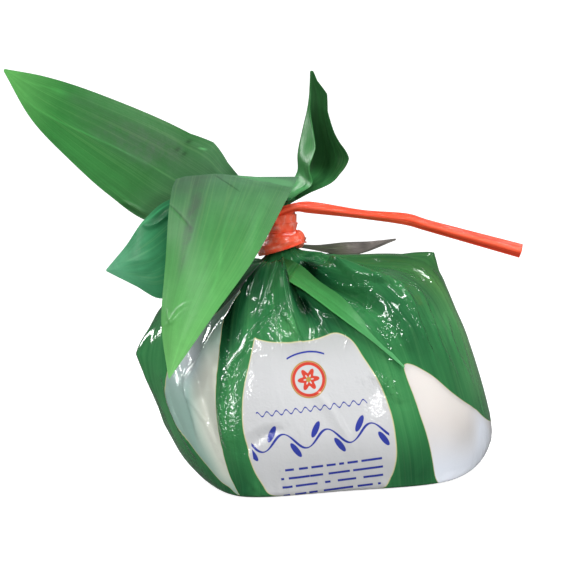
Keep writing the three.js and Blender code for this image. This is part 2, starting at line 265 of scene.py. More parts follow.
def newMaterial(name):
    material = bpy.data.materials.new(name)
    material.use_nodes = True
    tree = material.node_tree
    return material, tree, tree.nodes["Principled BSDF"], addNode(tree, "ShaderNodeTexCoord").outputs


def newGroup(name, inputs, outputs):
    # an input without a value is a vector, and every other socket is a number
    tree = bpy.data.node_groups.new(name, "ShaderNodeTree")
    for socketName, value in inputs.items():
        kind = "NodeSocketVector" if value is None else "NodeSocketFloat"
        socket = tree.interface.new_socket(socketName, in_out="INPUT", socket_type=kind)
        if value is not None:
            socket.default_value = value
    for socketName in outputs:
        tree.interface.new_socket(socketName, in_out="OUTPUT", socket_type="NodeSocketFloat")
    return tree, tree.nodes.new("NodeGroupInput").outputs, tree.nodes.new("NodeGroupOutput")


def useGroup(tree, group, **inputs):
    return addNode(tree, "ShaderNodeGroup", inputs, node_tree=group).outputs


def makeStreaks():
    # printed leaf veins that run along v and are spread across u
    inputs = {"Vector": None, "Count": 60, "Seed": 0}
    tree, given, out = newGroup("leafStreaks", inputs, ("Fine", "Broad", "Veins"))
    part = partsOf(given["Vector"])
    across = times(part["X"], given["Count"])
    for output, share, stretch, detail in (("Fine", 1.0, 2.5, 4), ("Broad", 0.16, 1.4, 2)):
        spot = joined(times(across, share), times(part["Y"], stretch), given["Seed"])
        plug(out, {output: noiseOf(spot, 1.0, detail, 0.62)})
    spot = joined(times(across, 0.45), times(part["Y"], 0.7), plus(given["Seed"], 7.3))
    away = calc("ABSOLUTE", minus(noiseOf(spot, 1.0, 1.0), 0.5))
    plug(out, {"Veins": stepAt(away, 0.035, 0.0)})
    return tree


def makeCrumple():
    # sharp little ridges of crumpled film as a height from 0 to 1, and finer dimples
    tree, given, out = newGroup("filmCrumple", {"Vector": None, "Scale": 200}, ("Height", "Dimples"))
    ridges = []
    for share, weight in ((1.0, 0.6), (2.7, 0.4)):
        noise = noiseOf(given["Vector"], times(given["Scale"], share), 1.0, distortion=0.4)
        ridges.append(times(minus(1.0, calc("ABSOLUTE", minus(times(noise, 2.0), 1.0))), weight))
    cells = {"Vector": given["Vector"], "Scale": times(given["Scale"], 6.5)}
    dimples = addNode(tree, "ShaderNodeTexVoronoi", cells, feature="SMOOTH_F1").outputs["Distance"]
    plug(out, {"Height": plus(*ridges), "Dimples": dimples})
    return tree


leafStreaks = makeStreaks()
filmCrumple = makeCrumple()
print("shader groups ready")


# The printed film round the cheese. Its rings go from the tuft above the ribbon down to the base: X of
# the middle, then reach and height in eight directions, right first and then by the back. A place on
# the film is an angle in degrees and a ring number with its fraction.
filmShape = {
    "columns": 430,
    "rows": 225,
    "columnsUpTo": ((0, 0.2, 0.85, 1), (0, 118, 290, 360)),  # closer together over the front
    "rings": [
        (-13.8, 0.8, 101.2),
        (-13.8, 5.6, 100.4),
        (-14.2, 4.2, 97.9),
        (-14.2, 4.4, 86.6),
        (-14.4, (7.3, 7.2, 7, 7.2, 7.3, 7.2, 7, 7.2), (81.2, 80.2, 79.4, 79.2, 79.4, 79.5, 79.4, 80.2)),
        (-13, (17, 14, 12, 14, 17, 14.5, 12.5, 15), (78.8, 75.8, 74.5, 75.6, 77.2, 76, 74.4, 75.6)),
        (-9, (45.8, 36.5, 28, 34, 49, 31, 27, 37.5), (74.8, 70.5, 67, 67, 66.4, 66, 63.5, 68.4)),
        (-4, (52.6, 48, 41, 48, 64.4, 45, 39.5, 50), (53.5, 52, 49, 48, 48.2, 49, 46, 51)),
        (-1, (57.8, 56, 49, 54, 63.6, 53, 47, 56), (22, 24, 24, 25, 28, 24, 21, 22)),
        (1, (56.2, 53.5, 45.5, 49, 57, 53.5, 43.5, 54), (6, 6, 6, 7, 8, 6, 4.6, 4.6)),
        (1, (47, 46, 38, 42, 44, 50, 38.5, 50), 0),
        (1, (24, 23, 19, 21, 22, 25, 19, 25), 0),
        (1, 1, 0),
    ],
    "rowsUpTo": [0, 0.02, 0.05, 0.08, 0.20, 0.42, 0.60, 0.78, 0.88, 0.93, 0.97, 0.985, 1],
    "folds": [  # from, to, height, spread at both ends, lean
        ((266, 4.3), (262, 7.0), 5.2, (4, 12), 0.55),
        ((236, 4.4), (217, 7.3), 4.0, (4, 11), -0.3),
        ((298, 4.6), (304, 7.2), -5.4, (4, 10), 0.3),
        ((316, 5.0), (316, 7.1), 4.4, (6, 18), -0.4),
        ((346, 4.8), (342, 6.9), -3.0, (4, 10), 0.2),
        ((1, 5.75), (0, 6.6), 0.8, (3, 4), 0),
        ((38, 4.6), (44, 7.3), 3.6, (4, 13), 0.4),
        ((80, 4.5), (86, 7.4), 4.2, (4, 12), -0.4),
        ((112, 4.6), (120, 7.0), -3.2, (4, 11), 0.2),
        ((150, 4.5), (150, 7.1), 3.8, (4, 12), 0.4),
        ((183, 6.4), (186, 7.8), 1.6, (6, 7), 0),
        ((206, 6.6), (222, 9.0), -3.2, (8, 12), 0.2),
    ],
    "gathers": {
        "count": 17,
        "depth": 0.4,
        "inTuft": (0.3, 0.9, 1.3, 1.9),  # where they begin, are full, fade and end
        "belowNeck": (3.6, 4.4, 4.6, 5.0),
        "frontReach": 40,
        "frontCalm": 0.9,  # the front has a few broad pleats instead
    },
    "neckX": -14.2,
    "corners": [  # angle, place, pull and reach of the pointed right shoulder and of the slack left side
        (359, 6.04, (3.3, 0, 2.4), 7.0),
        (184, 7.0, (-1.4, 0, 0), 9.0),
        (184, 6.5, (1.4, 0, 0), 9.0),
    ],
}

# Finer creases over the large folds: a line down the film, its height, its reach to the left and to
# the right of the line, and how jagged it is.
filmCreases = [
    ([(270, 4.1), (266, 4.9), (261.5, 5.5), (260.5, 5.85), (262, 6.34), (263.5, 6.66)],
     3.0, (9, 1.0), 0.03),
    ([(254, 6.08), (244, 6.3), (238, 6.52), (234.5, 6.68), (232.5, 6.88), (229, 7.04), (226, 7.26),
      (223, 7.6), (223.5, 8.2)], 0.7, (1.8, 1.0), 0.6),
    ([(253.5, 6.12), (252.3, 6.3), (251.5, 6.48)], 0.35, (0.9, 0.9), 0.4),
    ([(254.5, 6.12), (259.5, 6.38), (263.2, 6.62)], 0.35, (0.9, 0.9), 0.3),
    ([(258, 4.3), (252, 5.0), (246, 5.4), (241.5, 6.0)], 1.2, (7.0, 2.5), 0.03),
    ([(240, 4.5), (234, 5.3), (232.5, 5.9), (229.5, 6.4)], 1.2, (2.5, 6.0), 0.03),
    ([(325, 4.1), (347, 4.85), (322, 5.2), (312.5, 5.5), (310, 5.75), (315, 6.04), (321, 6.18)],
     3.0, (0.9, 12.0), 0.05),
    ([(313, 4.6), (310, 4.92), (307.5, 5.18), (304.5, 5.5)], 0.9, (0.8, 1.2), 0.12),
    ([(304.5, 5.5), (305.5, 5.78), (309, 5.96), (313, 5.98)], 0.8, (0.8, 2.0), 0.5),
    ([(274, 4.6), (272, 5.5), (273, 6.0), (276, 6.4)], -2.0, (6.0, 3.0), 0.05),
    ([(276, 6.0), (281, 6.2), (287, 6.3)], 0.5, (1.6, 2.5), 0),
    ([(299, 6.4), (303, 6.2), (307, 6.1), (313, 6.05)], 0.9, (1.0, 3.0), 0.2),
    ([(315, 5.95), (319, 6.0), (324, 6.25)], 0.7, (2.4, 1.0), 0.3),
    ([(323, 6.2), (319, 6.6), (316, 7.0), (318, 7.3)], 0.8, (2.4, 1.2), 0.25),
    ([(330, 6.3), (326, 6.8), (324, 7.2), (327, 7.5)], 0.8, (2.6, 1.2), 0.2),
    ([(337, 6.9), (333, 7.25), (337, 7.6)], 0.6, (2.0, 1.0), 0.25),
    ([(270.5, 6.87), (270.5, 7.12), (273, 7.24), (277, 7.28)], 0.4, (0.8, 0.8), 0.15),
    ([(286, 6.7), (281, 6.9)], 0.4, (0.8, 0.8), 0.1),
    ([(284, 7.32), (289, 7.3), (292, 7.42), (296, 7.62)], 0.5, (1.1, 1.1), 0.8),
    ([(291, 7.66), (297, 7.68), (302, 7.68)], -0.7, (1.2, 1.6), 0.1),
    ([(346, 5.6), (346, 6.2), (343, 6.9), (339, 7.6)], 1.0, (6.0, 2.0), 0.1),
    ([(219, 6.4), (215.5, 6.85), (207.5, 7.35), (209.5, 7.9), (211, 8.3)], 1.6, (1.4, 5.0), 0.1),
    ([(206, 7.5), (211, 7.75), (219, 8.5)], 0.9, (1.2, 3.0), 0.15),
    ([(221, 8.36), (227, 8.3), (233, 8.34)], -0.8, (1.3, 1.6), 0.1),
    ([(232, 8.34), (238, 8.12), (244, 7.96), (251, 7.9)], -1.7, (1.4, 3.8), 0.05),
    ([(262, 7.3), (270, 7.6), (276, 8.2)], 0.9, (4.0, 1.6), 0.05),
    ([(198, 7.3), (200, 8.0), (206, 8.6)], 0.8, (2.0, 1.2), 0.2),
    ([(60, 5.0), (66, 6.0), (62, 7.0)], 1.4, (6.0, 1.6), 0.1),
    ([(104, 5.2), (100, 6.1), (103, 7.2)], 1.4, (1.6, 6.0), 0.1),
    ([(140, 5.1), (134, 6.2), (137, 7.4)], 1.4, (6.0, 1.6), 0.1),
    ([(20, 5.4), (16, 6.3), (14, 7.3)], 1.0, (1.6, 5.0), 0.1),
]

# Rounded swellings where the film lies on the cheese: angle, place, reach and height in millimetres.
filmDomes = [
    (302, 6.72, 12.0, 2.0),
    (311, 6.98, 7.5, 1.0),
    (324, 6.42, 8.0, 0.8),
    (337, 6.5, 9.0, 0.8),
    (72, 6.9, 14.0, 1.6),
    (128, 6.9, 14.0, 1.6),
]

# Patches of finely crushed film: angle, place, reach both ways and amount.
crushed = [
    (299.5, 6.82, 3.6, 0.16, 1.0), (307.5, 6.95, 2.2, 0.14, 0.8), (260, 6.4, 3.0, 0.2, 0.8),
    (248, 6.32, 4.0, 0.14, 0.8), (235, 6.72, 4.0, 0.16, 0.9), (225, 7.3, 3.0, 0.3, 0.9),
    (222.5, 7.9, 2.4, 0.35, 0.7), (293, 7.4, 5.0, 0.12, 0.8), (319, 6.9, 5.0, 0.4, 0.35),
    (334, 7.3, 6.0, 0.3, 0.3), (313, 5.9, 5.0, 0.15, 0.4), (228, 8.0, 4.0, 0.4, 0.3),
    (300, 8.2, 3.0, 0.5, 0.25), (268, 6.7, 6.0, 0.08, 0.4), (60, 7.0, 10.0, 0.5, 0.5),
    (130, 7.0, 12.0, 0.5, 0.5),
]


def ringPoints():
    rings = []
    for middle, reach, height in filmShape["rings"]:
        angle = np.arange(8) * math.pi / 4
        reach = np.broadcast_to(reach, 8)
        rings.append(np.stack([middle + reach * np.cos(angle), reach * np.sin(angle),
                               np.broadcast_to(height, 8)], axis=1))
    return np.array(rings, float)


filmRings = ringPoints()


def smoothFilm(angle, place):
    turn = (angle / 45) % 8
    side = turn.astype(int)
    w = (turn - side)[:, None]
    at = np.clip(place, 0, len(filmRings) - 1.001)
    first = at.astype(int)
    levels = []
    for step in (-1, 0, 1, 2):
        level = np.clip(first + step, 0, len(filmRings) - 1)
        levels.append(catmull(*(filmRings[level, (side + k) % 8] for k in (-1, 0, 1, 2)), w))
    point = catmull(*levels, (at - first)[:, None])
    point[:, 2] = np.maximum(point[:, 2], 0)
    return point


def filmOutward(angle, place):
    around = smoothFilm(angle + 2, place) - smoothFilm(angle - 2, place)
    down = smoothFilm(angle, place + 0.05) - smoothFilm(angle, place - 0.05)
    out = np.cross(down, around)
    return out / np.maximum(lengthOf(out), 1e-9)


def between(value, start, full, fading, end):
    # rises from 0 to 1 between the first two, and falls again between the last two
    return smooth((value - start) / (full - start)) * (1 - smooth((value - fading) / (end - fading)))


def foldLift(angle, place):
    # the large folds, and the fine gathers in the tuft and just below the neck
    point = smoothFilm(angle, place)
    reach = np.hypot(point[:, 0] - lerp(filmShape["neckX"], 0, smooth((place - 4) / 4)), point[:, 1])
    lift = np.zeros(len(angle))
    for start, end, height, spread, lean in filmShape["folds"]:
        t = np.clip((place - start[1]) / (end[1] - start[1]), 0, 1)
        across = turnBetween(angle, lerp(start[0], end[0], t))
        side = np.where(across * lean > 0, 1 - abs(lean), 1)
        share = np.clip(1 - np.radians(np.abs(across)) * reach / (lerp(*spread, t) * side), 0, 1)
        lift += height * lerp(smooth(share), share, 0.6) * np.sin(math.pi * t ** 0.7)
    gathers = filmShape["gathers"]
    atFront = smooth(2 - np.abs(turnBetween(angle, 270)) / gathers["frontReach"])
    opened = between(place, *gathers["belowNeck"]) * (1 - gathers["frontCalm"] * atFront)
    crumpled = between(place, *gathers["inTuft"])
    turn = np.radians(angle)
    uneven = turn + 0.16 * np.sin(2 * turn + 1) + 0.1 * np.sin(3 * turn)
    return lift + gathers["depth"] * (opened + crumpled) * np.cos(gathers["count"] * uneven)


def chartArc():
    # how far down the film each ring lies
    reach = lengthOf(filmRings[:, :, :2] - filmRings[:, :, :2].mean(axis=1, keepdims=True)).mean(axis=(1, 2))
    steps = np.hypot(np.diff(reach), np.diff(filmRings[:, :, 2].mean(axis=1)))
    return np.concatenate([[0], np.cumsum(steps)])


# A flat chart of the film in millimetres, for lines, outlines and distances on it.
chart = {"perDegree": 0.9, "seam": 70, "ringArc": chartArc()}


def onChart(angle, place):
    x = ((np.asarray(angle, float) - chart["seam"]) % 360) * chart["perDegree"]
    return x, np.interp(place, np.arange(len(filmRings)), chart["ringArc"])


def chartLine(marks, closed=False, finer=6):
    # marks are (angle, place); the curve through them on the chart
    x, y = onChart(*np.array(marks, float).T)
    points = np.stack([x, y, 0 * x], axis=1)
    if closed:
        points = np.concatenate([points[-2:], points, points[:2]])
        t = np.linspace(2, len(points) - 2, (len(points) - 4) * finer + 1)[:-1] / (len(points) - 1)
    else:
        t = np.linspace(0, 1, (len(points) - 1) * finer + 1)
    return curveAt(points, t)[:, :2]


def toSegments(x, y, line, closed=False):
    # distance to a line, how far along it the nearest point lies, from 0 to 1, and the side: 1 on its left
    best = np.full(len(x), 1e9)
    along = np.zeros(len(x))
    side = np.zeros(len(x))
    ends = np.roll(line, -1, axis=0) if closed else line[1:]
    for i, ((ax, ay), (bx, by)) in enumerate(zip(line, ends)):
        dx, dy = bx - ax, by - ay
        t = np.clip(((x - ax) * dx + (y - ay) * dy) / max(dx * dx + dy * dy, 1e-9), 0, 1)
        distance = np.hypot(x - ax - t * dx, y - ay - t * dy)
        near = distance < best
        best[near] = distance[near]
        along[near] = (i + t[near]) / len(ends)
        side[near] = dx * (y[near] - ay) > dy * (x[near] - ax)
    return best, along, side


def insideBy(x, y, outline):
    # millimetres inside a closed outline, below zero outside it
    distance, _, _ = toSegments(x, y, outline, closed=True)
    inside = np.zeros(len(x), bool)
    for (ax, ay), (bx, by) in zip(outline, np.roll(outline, -1, axis=0)):
        crosses = (ay > y) != (by > y)
        if ay != by:
            inside ^= crosses & (x < ax + (y - ay) * (bx - ax) / (by - ay))
    return np.where(inside, distance, -distance)


def creaseLift(angle, place):
    # the height of the creases, and how broken the film is along the jagged ones
    x, y = onChart(angle, place)
    lift = np.zeros(len(angle))
    broken = np.zeros(len(angle))
    for marks, height, (toLeft, toRight), jagged in filmCreases:
        line = chartLine(marks)
        wobble = jagged * (np.sin(x * 2.1 + 1.3 * y) + 0.6 * np.sin(3.7 * x - 2.9 * y))
        near = (np.abs(x - line[:, 0].mean()) < 45) & (np.abs(y - line[:, 1].mean()) < 45)
        distance, along, left = toSegments(x[near] + 0.5 * wobble[near], y[near] - 0.5 * wobble[near], line)
        reach = np.where(left == 1, toLeft, toRight)
        tent = np.clip(1 - distance / reach, 0, 1)
        tent = np.where(reach < 1.7, smooth(tent), tent ** 1.3)  # a narrow crease has a round crest
        lift[near] += height * tent * np.sin(math.pi * np.clip(along, 0.02, 0.98)) ** 0.6
        broken[near] = np.maximum(broken[near], min(3 * jagged, 1) * smooth(1.8 - distance))
    for domeAngle, domePlace, reach, height in filmDomes:
        middleX, middleY = onChart(domeAngle, domePlace)
        away = np.hypot(x - middleX, y - middleY) / reach
        lift += height * smooth(1 - away ** 2)
    return lift, broken


# Small wrinkles at random: a zone of the film, how many, and their length, width and height.
filmWrinkles = {
    "seed": 11,
    "zones": [
        {"angles": (0, 360), "places": (4.3, 5.9), "count": 30, "turn": 12,
         "length": (6, 16), "width": (1.4, 3.0), "height": (0.1, 0.3)},
        {"angles": (0, 360), "places": (5.6, 8.8), "count": 80, "turn": 80,
         "length": (5, 14), "width": (1.4, 3.2), "height": (0.1, 0.4)},
        {"angles": (296, 332), "places": (5.8, 7.4), "count": 14, "turn": 80,
         "length": (2, 7), "width": (0.8, 1.8), "height": (0.1, 0.35)},
        {"angles": (216, 262), "places": (5.6, 8.4), "count": 14, "turn": 60,
         "length": (2, 8), "width": (0.8, 2.0), "height": (0.1, 0.35)},
        {"angles": (0, 360), "places": (8.6, 9.6), "count": 40, "turn": 30,
         "length": (3, 9), "width": (1.2, 2.4), "height": (0.15, 0.5)},
    ],
}


def wrinkleLift(angle, place, calm):
    draw = np.random.default_rng(filmWrinkles["seed"])
    lift = np.zeros(len(angle))
    ringReach = np.hypot(filmRings[:, :, 0] + 2, filmRings[:, :, 1]).mean(axis=1)
    meanReach = np.interp(place, np.arange(len(filmRings)), ringReach)
    _, y = onChart(angle, place)
    for zone in filmWrinkles["zones"]:
        for _ in range(zone["count"]):
            centre = draw.uniform(*zone["angles"]), draw.uniform(*zone["places"])
            turn = math.radians(draw.normal(0, zone["turn"]))
            length, width, height = (draw.uniform(*zone[key]) for key in ("length", "width", "height"))
            bend = draw.normal(0, 0.03)
            dx = np.radians(turnBetween(angle, centre[0])) * meanReach
            dy = y - onChart(*centre)[1]
            near = (np.abs(dx) < length) & (np.abs(dy) < length)
            along = dy[near] * math.cos(turn) + dx[near] * math.sin(turn)
            across = dx[near] * math.cos(turn) - dy[near] * math.sin(turn) + bend * along ** 2
            crest = np.clip(1 - np.abs(across) / width, 0, 1) ** 1.2
            lift[near] += height * crest * np.clip(1 - (along / length) ** 2, 0, 1)
    return lift * calm


# What is printed: outlines on the film, as (angle, place).
label = [(238.3, 6.66), (239.2, 6.68), (250, 6.71), (262, 6.70), (272, 6.64), (281.5, 6.60),
         (285.5, 6.74), (287.5, 7.06), (290.5, 7.42), (291.8, 7.8), (291.2, 8.2), (290.3, 8.5),
         (286.5, 9.18), (281, 9.9), (268, 10.2), (254, 10.0), (242, 9.54), (237, 8.8),
         (234.4, 8.18), (233.3, 7.8), (233.6, 7.46), (235.8, 7.1), (238, 6.69)]
windows = [
    [(227, 5.86), (225.5, 6.0), (222.3, 6.25), (221.6, 6.8), (220.5, 7.46), (220.6, 8.16),
     (223, 8.9), (227, 9.62), (222, 9.24), (216.5, 9.04), (211.5, 8.74), (206, 8.42),
     (201, 8.14), (197.5, 7.86), (199, 7.5), (202, 7.1), (208, 6.6), (219, 6.1)],
    [(302, 7.26), (311, 7.42), (320.5, 7.68), (331, 7.92), (342, 8.22), (352, 8.4), (4, 8.5),
     (16, 8.9), (10, 9.8), (350, 10.3), (325, 10.3), (309, 9.9), (306, 9.3), (303.8, 8.3),
     (302.3, 7.7)],
    [(30, 6.2), (38, 6.6), (45, 7.3), (47, 8.1), (42, 9.0), (34, 9.9), (24, 9.2), (19, 8.3),
     (19, 7.4), (24, 6.6)],
    [(104, 6.4), (114, 6.9), (120, 7.6), (122, 8.4), (117, 9.2), (108, 10.0), (96, 9.4),
     (88, 8.6), (86, 7.7), (92, 6.9)],
    [(156, 6.5), (164, 7.0), (168, 7.8), (166, 8.6), (160, 9.6), (152, 9.9), (146, 9.0),
     (142, 8.2), (143, 7.4), (148, 6.8)],
]

# Marks on the film, as angle, place, how far both ways, and how much. First where the green is made darker or
# lighter:
# painted shade in the valleys, beside the pleat and under the flaps, painted light on the bright pleat and
# painted highlights where the film glints, and the print's own lighter and darker greens.
lightShadeAndPrintTones = [
    (226, 5.3, 13, 0.75, -0.8), (224, 6.4, 5, 0.6, -1.2), (254, 6.5, 9, 0.25, 0.6),
    (252, 5.5, 7, 0.6, 0.5), (266, 5.4, 3.5, 0.35, -1.4), (271.5, 5.9, 5, 0.3, -1.9),
    (280, 6.35, 9, 0.25, -0.5), (302, 5.0, 9, 0.5, -1.1), (234, 5.6, 6, 0.5, -0.5),
    (320, 4.7, 14, 0.3, -1.0), (312, 4.88, 10, 0.22, -1.4), (260, 6.45, 4, 0.2, 0.6),
    (228, 7.2, 4, 0.4, 0.35), (352, 5.4, 12, 0.3, 0.1), (345, 6.9, 14, 0.8, 0.25),
    (309, 6.35, 7, 0.25, -0.3), (190, 7.2, 12, 1.2, 0.3), (198, 8.2, 8, 0.6, 0.3),
    (222, 7.0, 4, 0.5, -0.3), (300, 6.4, 6, 0.2, 0.3), (226, 9.2, 10, 0.7, -0.35),
    (296, 9.0, 10, 0.7, -0.4), (226, 7.8, 7, 0.7, 0.45), (297, 7.6, 7, 0.6, 0.7),
    (350, 5.6, 18, 0.5, -0.25), (336, 6.4, 14, 0.5, -0.1), (350, 7.2, 12, 0.8, 0.9),
    (310, 6.8, 10, 0.4, -0.2), (332, 6.9, 7, 0.3, 0.5), (336, 7.6, 8, 0.3, 0.5),
    (212, 9.4, 18, 0.6, -0.4), (150, 6.0, 30, 0.6, -0.2), (70, 6.0, 30, 0.8, -0.2),
]
# where the print is less blue
olives = [(352, 5.6, 22, 0.6, 0.8), (345, 6.3, 14, 0.4, 0.8), (352, 7.2, 12, 0.8, 0.4)]
# where a window is more or less frosted; the one at 208 degrees also whitens the left window under leaf B's
# shadow, as painted light
veilsAndPaintedLight = [(337, 8.35, 8, 0.4, 1.0), (335, 9.6, 16, 0.35, 0.5), (218, 7.6, 6, 0.8, -0.6),
         (221, 8.6, 5, 0.5, -0.9), (203, 7.9, 5, 0.4, 0.6), (208, 6.9, 6, 0.4, 0.8)]
# where the left window is made whiter under leaf B's shadow: painted light
milkyAndPaintedLight = [(208, 6.9, 7, 0.45, 0.9)]
# where the film hardly wrinkles
tight = [(288, 6.35, 11, 0.3, 0.9), (348, 6.0, 12, 0.5, 0.8), (258, 5.2, 8, 0.5, 0.7)]


cheeseShape = {
    "middle": (4.6, 0.5, 30.4),
    "half": (50.6, 44.5, 29.8),
    "squareness": 2.6,
    "topKnot": 9.0,
    "knotFrom": 0.86,  # of its height
    "liesAt": 0.9,
    "offFilm": 0.7,
}


def cheeseGap(points):
    # how far points lie off the cheese, roughly, in millimetres
    offset = (points - np.array(cheeseShape["middle"])) / np.array(cheeseShape["half"])
    size = (np.abs(offset) ** cheeseShape["squareness"]).sum(axis=1) ** (1 / cheeseShape["squareness"])
    return lengthOf(points - np.array(cheeseShape["middle"]))[:, 0] * (1 - 1 / np.maximum(size, 1e-6))


def makeFilm():
    piece, s, t = gridPiece("leafPrintFilm", filmShape["columns"], filmShape["rows"])
    angle = chart["seam"] + np.interp(s, *filmShape["columnsUpTo"])
    mapPiece(piece, (angle - chart["seam"]) / 360, t)
    place = np.interp(t, filmShape["rowsUpTo"], np.arange(len(filmRings)))
    settled = 1 - smooth((place - 9) / 0.9)
    x, y = onChart(angle - 1e-7, place)
    labelEdge = insideBy(x, y, chartLine(label, closed=True))
    windowEdge = np.max([insideBy(x, y, chartLine(outline, closed=True)) for outline in windows], axis=0)
    loose = np.clip(1 - filmSpots(angle, place, tight), 0, 1)
    calm = (1 - 0.6 * smooth(labelEdge / 4) - 0.6 * smooth(windowEdge / 3)) * loose
    creased, broken = creaseLift(angle, place)
    lift = foldLift(angle, place) + creased + wrinkleLift(angle, place, calm)
    points = smoothFilm(angle, place) + filmOutward(angle, place) * (lift * settled)[:, None]
    for cornerAngle, cornerPlace, pull, reach in filmShape["corners"]:
        away = np.hypot(turnBetween(angle, cornerAngle) * chart["perDegree"], y - onChart(0, cornerPlace)[1])
        points += np.array(pull) * (np.clip(1 - away / reach, 0, 1) ** 1.5)[:, None]
    points[:, 2] = np.maximum(points[:, 2], 0)
    for end, ringIndex in ((0, 0), (1, -1)):
        points[t == end] = filmRings[ringIndex].mean(axis=0)
    placeVertices(piece, points)
    addField(piece, "labelEdge", labelEdge)
    addField(piece, "windowEdge", windowEdge)
    addField(piece, "standOff", cheeseGap(points))
    # painted shade and painted light, with the print's own lighter and darker greens
    addField(piece, "lightShadeAndPrintTone", filmSpots(angle, place, lightShadeAndPrintTones))
    addField(piece, "olive", filmSpots(angle, place, olives))
    inPatches = filmSpots(angle, place, crushed)
    onLabel = smooth(labelEdge / 2)
    rough = (inPatches + 0.5 * broken) * (1 - 0.7 * onLabel)
    addField(piece, "crushed", rough + 0.12 * loose + 0.1 * onLabel)
    addField(piece, "crisp", smooth((inPatches + broken) / 0.4))
    # the milky film on the right, and painted light on the left window under leaf B's shadow
    onRight = smooth(2.6 - np.abs(turnBetween(angle, 328)) / 30)
    addField(piece, "milkyAndPaintedLight", onRight + filmSpots(angle, place, milkyAndPaintedLight))
    addField(piece, "veilAndPaintedLight", filmSpots(angle, place, veilsAndPaintedLight))
    closeShell(piece)
    return piece


def markWindows(piece):
    # the second material goes on the faces in and next to the windows; the print is opaque elsewhere
    edge = np.empty(len(piece.data.vertices), np.float32)
    piece.data.attributes["windowEdge"].data.foreach_get("value", edge)
    for face in piece.data.polygons:
        face.material_index = int(max(edge[corner] for corner in face.vertices) > -0.6)


labelArt = {  # in millimetres from the middle of the rosette, and every line is (middle, half its width)
    "middle": (-8.5, 40.4),
    "lean": 3.6,  # degrees
    "edge": 0.07,  # how soft the outlines are
    "rosette": {"petals": 6.0, "depth": 0.85, "line": (1.9, 1.0), "ring": (5.15, 0.5), "rim": (5.9, 0.22)},
    "arc": {"bend": 0.035, "line": (9.0, 0.3), "across": (0.0, 6.5)},
    "wavy": {"wave": (0.75, 3.3), "line": (-9.6, 0.24), "across": (-0.4, 19.0)},
    "vine": {"wave": (2.7, 15.0), "down": 19.6, "half": 0.42, "swell": (0.18, 7.5, 1.0),
             "across": (1.0, 23.5)},
    "vineLeaf": {"step": 7.5, "half": (1.15, 2.6), "offStem": 3.1, "lean": 0.5},
    "bars": {"step": 3.1, "half": 0.42, "across": (3.5, 17.5), "down": (-33.0, 6.2),
             "broken": (0.42, 5.7, 0.42)},
}


def makeLabelPrint():
    # the plain ornaments on the label: a rosette, an arc, a thin wavy line, a vine and short bars
    tree, given, out = newGroup("labelPrint", {"Vector": None}, ("Blue", "Red", "Gold"))
    middleX, middleZ = labelArt["middle"]
    moved = {"Vector": given["Vector"], "Location": (-middleX, 0, -middleZ), "Scale": (1000, 1000, 1000)}
    spot = addNode(tree, "ShaderNodeMapping", moved).outputs[0]
    turned = {"Vector": spot, "Rotation": (0, math.radians(labelArt["lean"]), 0)}
    part = partsOf(addNode(tree, "ShaderNodeMapping", turned).outputs[0])
    x, z = part["X"], part["Z"]
    edge = labelArt["edge"]

    def within(value, middle, half):
        return stepAt(calc("ABSOLUTE", minus(value, middle)), half + edge, half - edge)

    def wave(height, length, phase=0.0):
        return times(calc("SINE", plus(times(x, 2 * math.pi / length), phase)), height)

    rosette = labelArt["rosette"]
    radius = calc("SQRT", plus(times(x, x), times(z, z)))
    petals = times(calc("COSINE", times(calc("ARCTAN2", z, x), rosette["petals"])), rosette["depth"])
    red = most(within(radius, *rosette["ring"]), within(minus(radius, petals), *rosette["line"]))
    gold = most(within(radius, *rosette["rim"]), stepAt(radius, 0.95, 0.8))

    arc, wavy = labelArt["arc"], labelArt["wavy"]
    blue = times(within(plus(z, times(x, x, arc["bend"])), *arc["line"]), within(x, *arc["across"]))
    line = within(minus(z, wave(*wavy["wave"])), *wavy["line"])
    blue = most(blue, times(line, within(x, *wavy["across"])))

    vine, leaf = labelArt["vine"], labelArt["vineLeaf"]
    away = calc("ABSOLUTE", plus(minus(z, wave(*vine["wave"])), vine["down"]))
    stem = stepAt(minus(away, plus(vine["half"], wave(*vine["swell"]))), edge, -edge)
    count = calc("ROUND", calc("DIVIDE", x, leaf["step"]))
    side = calc("COSINE", times(count, math.pi))
    leafZ = minus(plus(z, vine["down"]), times(side, leaf["offStem"]))
    leafX = minus(x, times(count, leaf["step"]), times(leafZ, side, leaf["lean"]))
    size = plus(*(calc("POWER", calc("ABSOLUTE", calc("DIVIDE", value, half)), 2.0)
                  for value, half in zip((leafX, leafZ), leaf["half"])))
    blue = most(blue, times(most(stem, stepAt(size, 1.1, 0.9)), within(x, *vine["across"])))

    bars = labelArt["bars"]
    alongRow, apart, gaps = bars["broken"]
    row = calc("FLOOR", calc("DIVIDE", z, bars["step"]))
    inRow = minus(z, times(row, bars["step"]), bars["step"] / 2)
    inked = stepAt(noiseOf(joined(times(x, alongRow), times(row, apart)), 1.0, 0.0), gaps, gaps + 0.01)
    inked = times(inked, within(inRow, 0.0, bars["half"]))
    inked = times(inked, within(x, *bars["across"]), within(z, *bars["down"]))
    plug(out, {"Blue": most(blue, inked), "Red": red, "Gold": gold})
    return tree


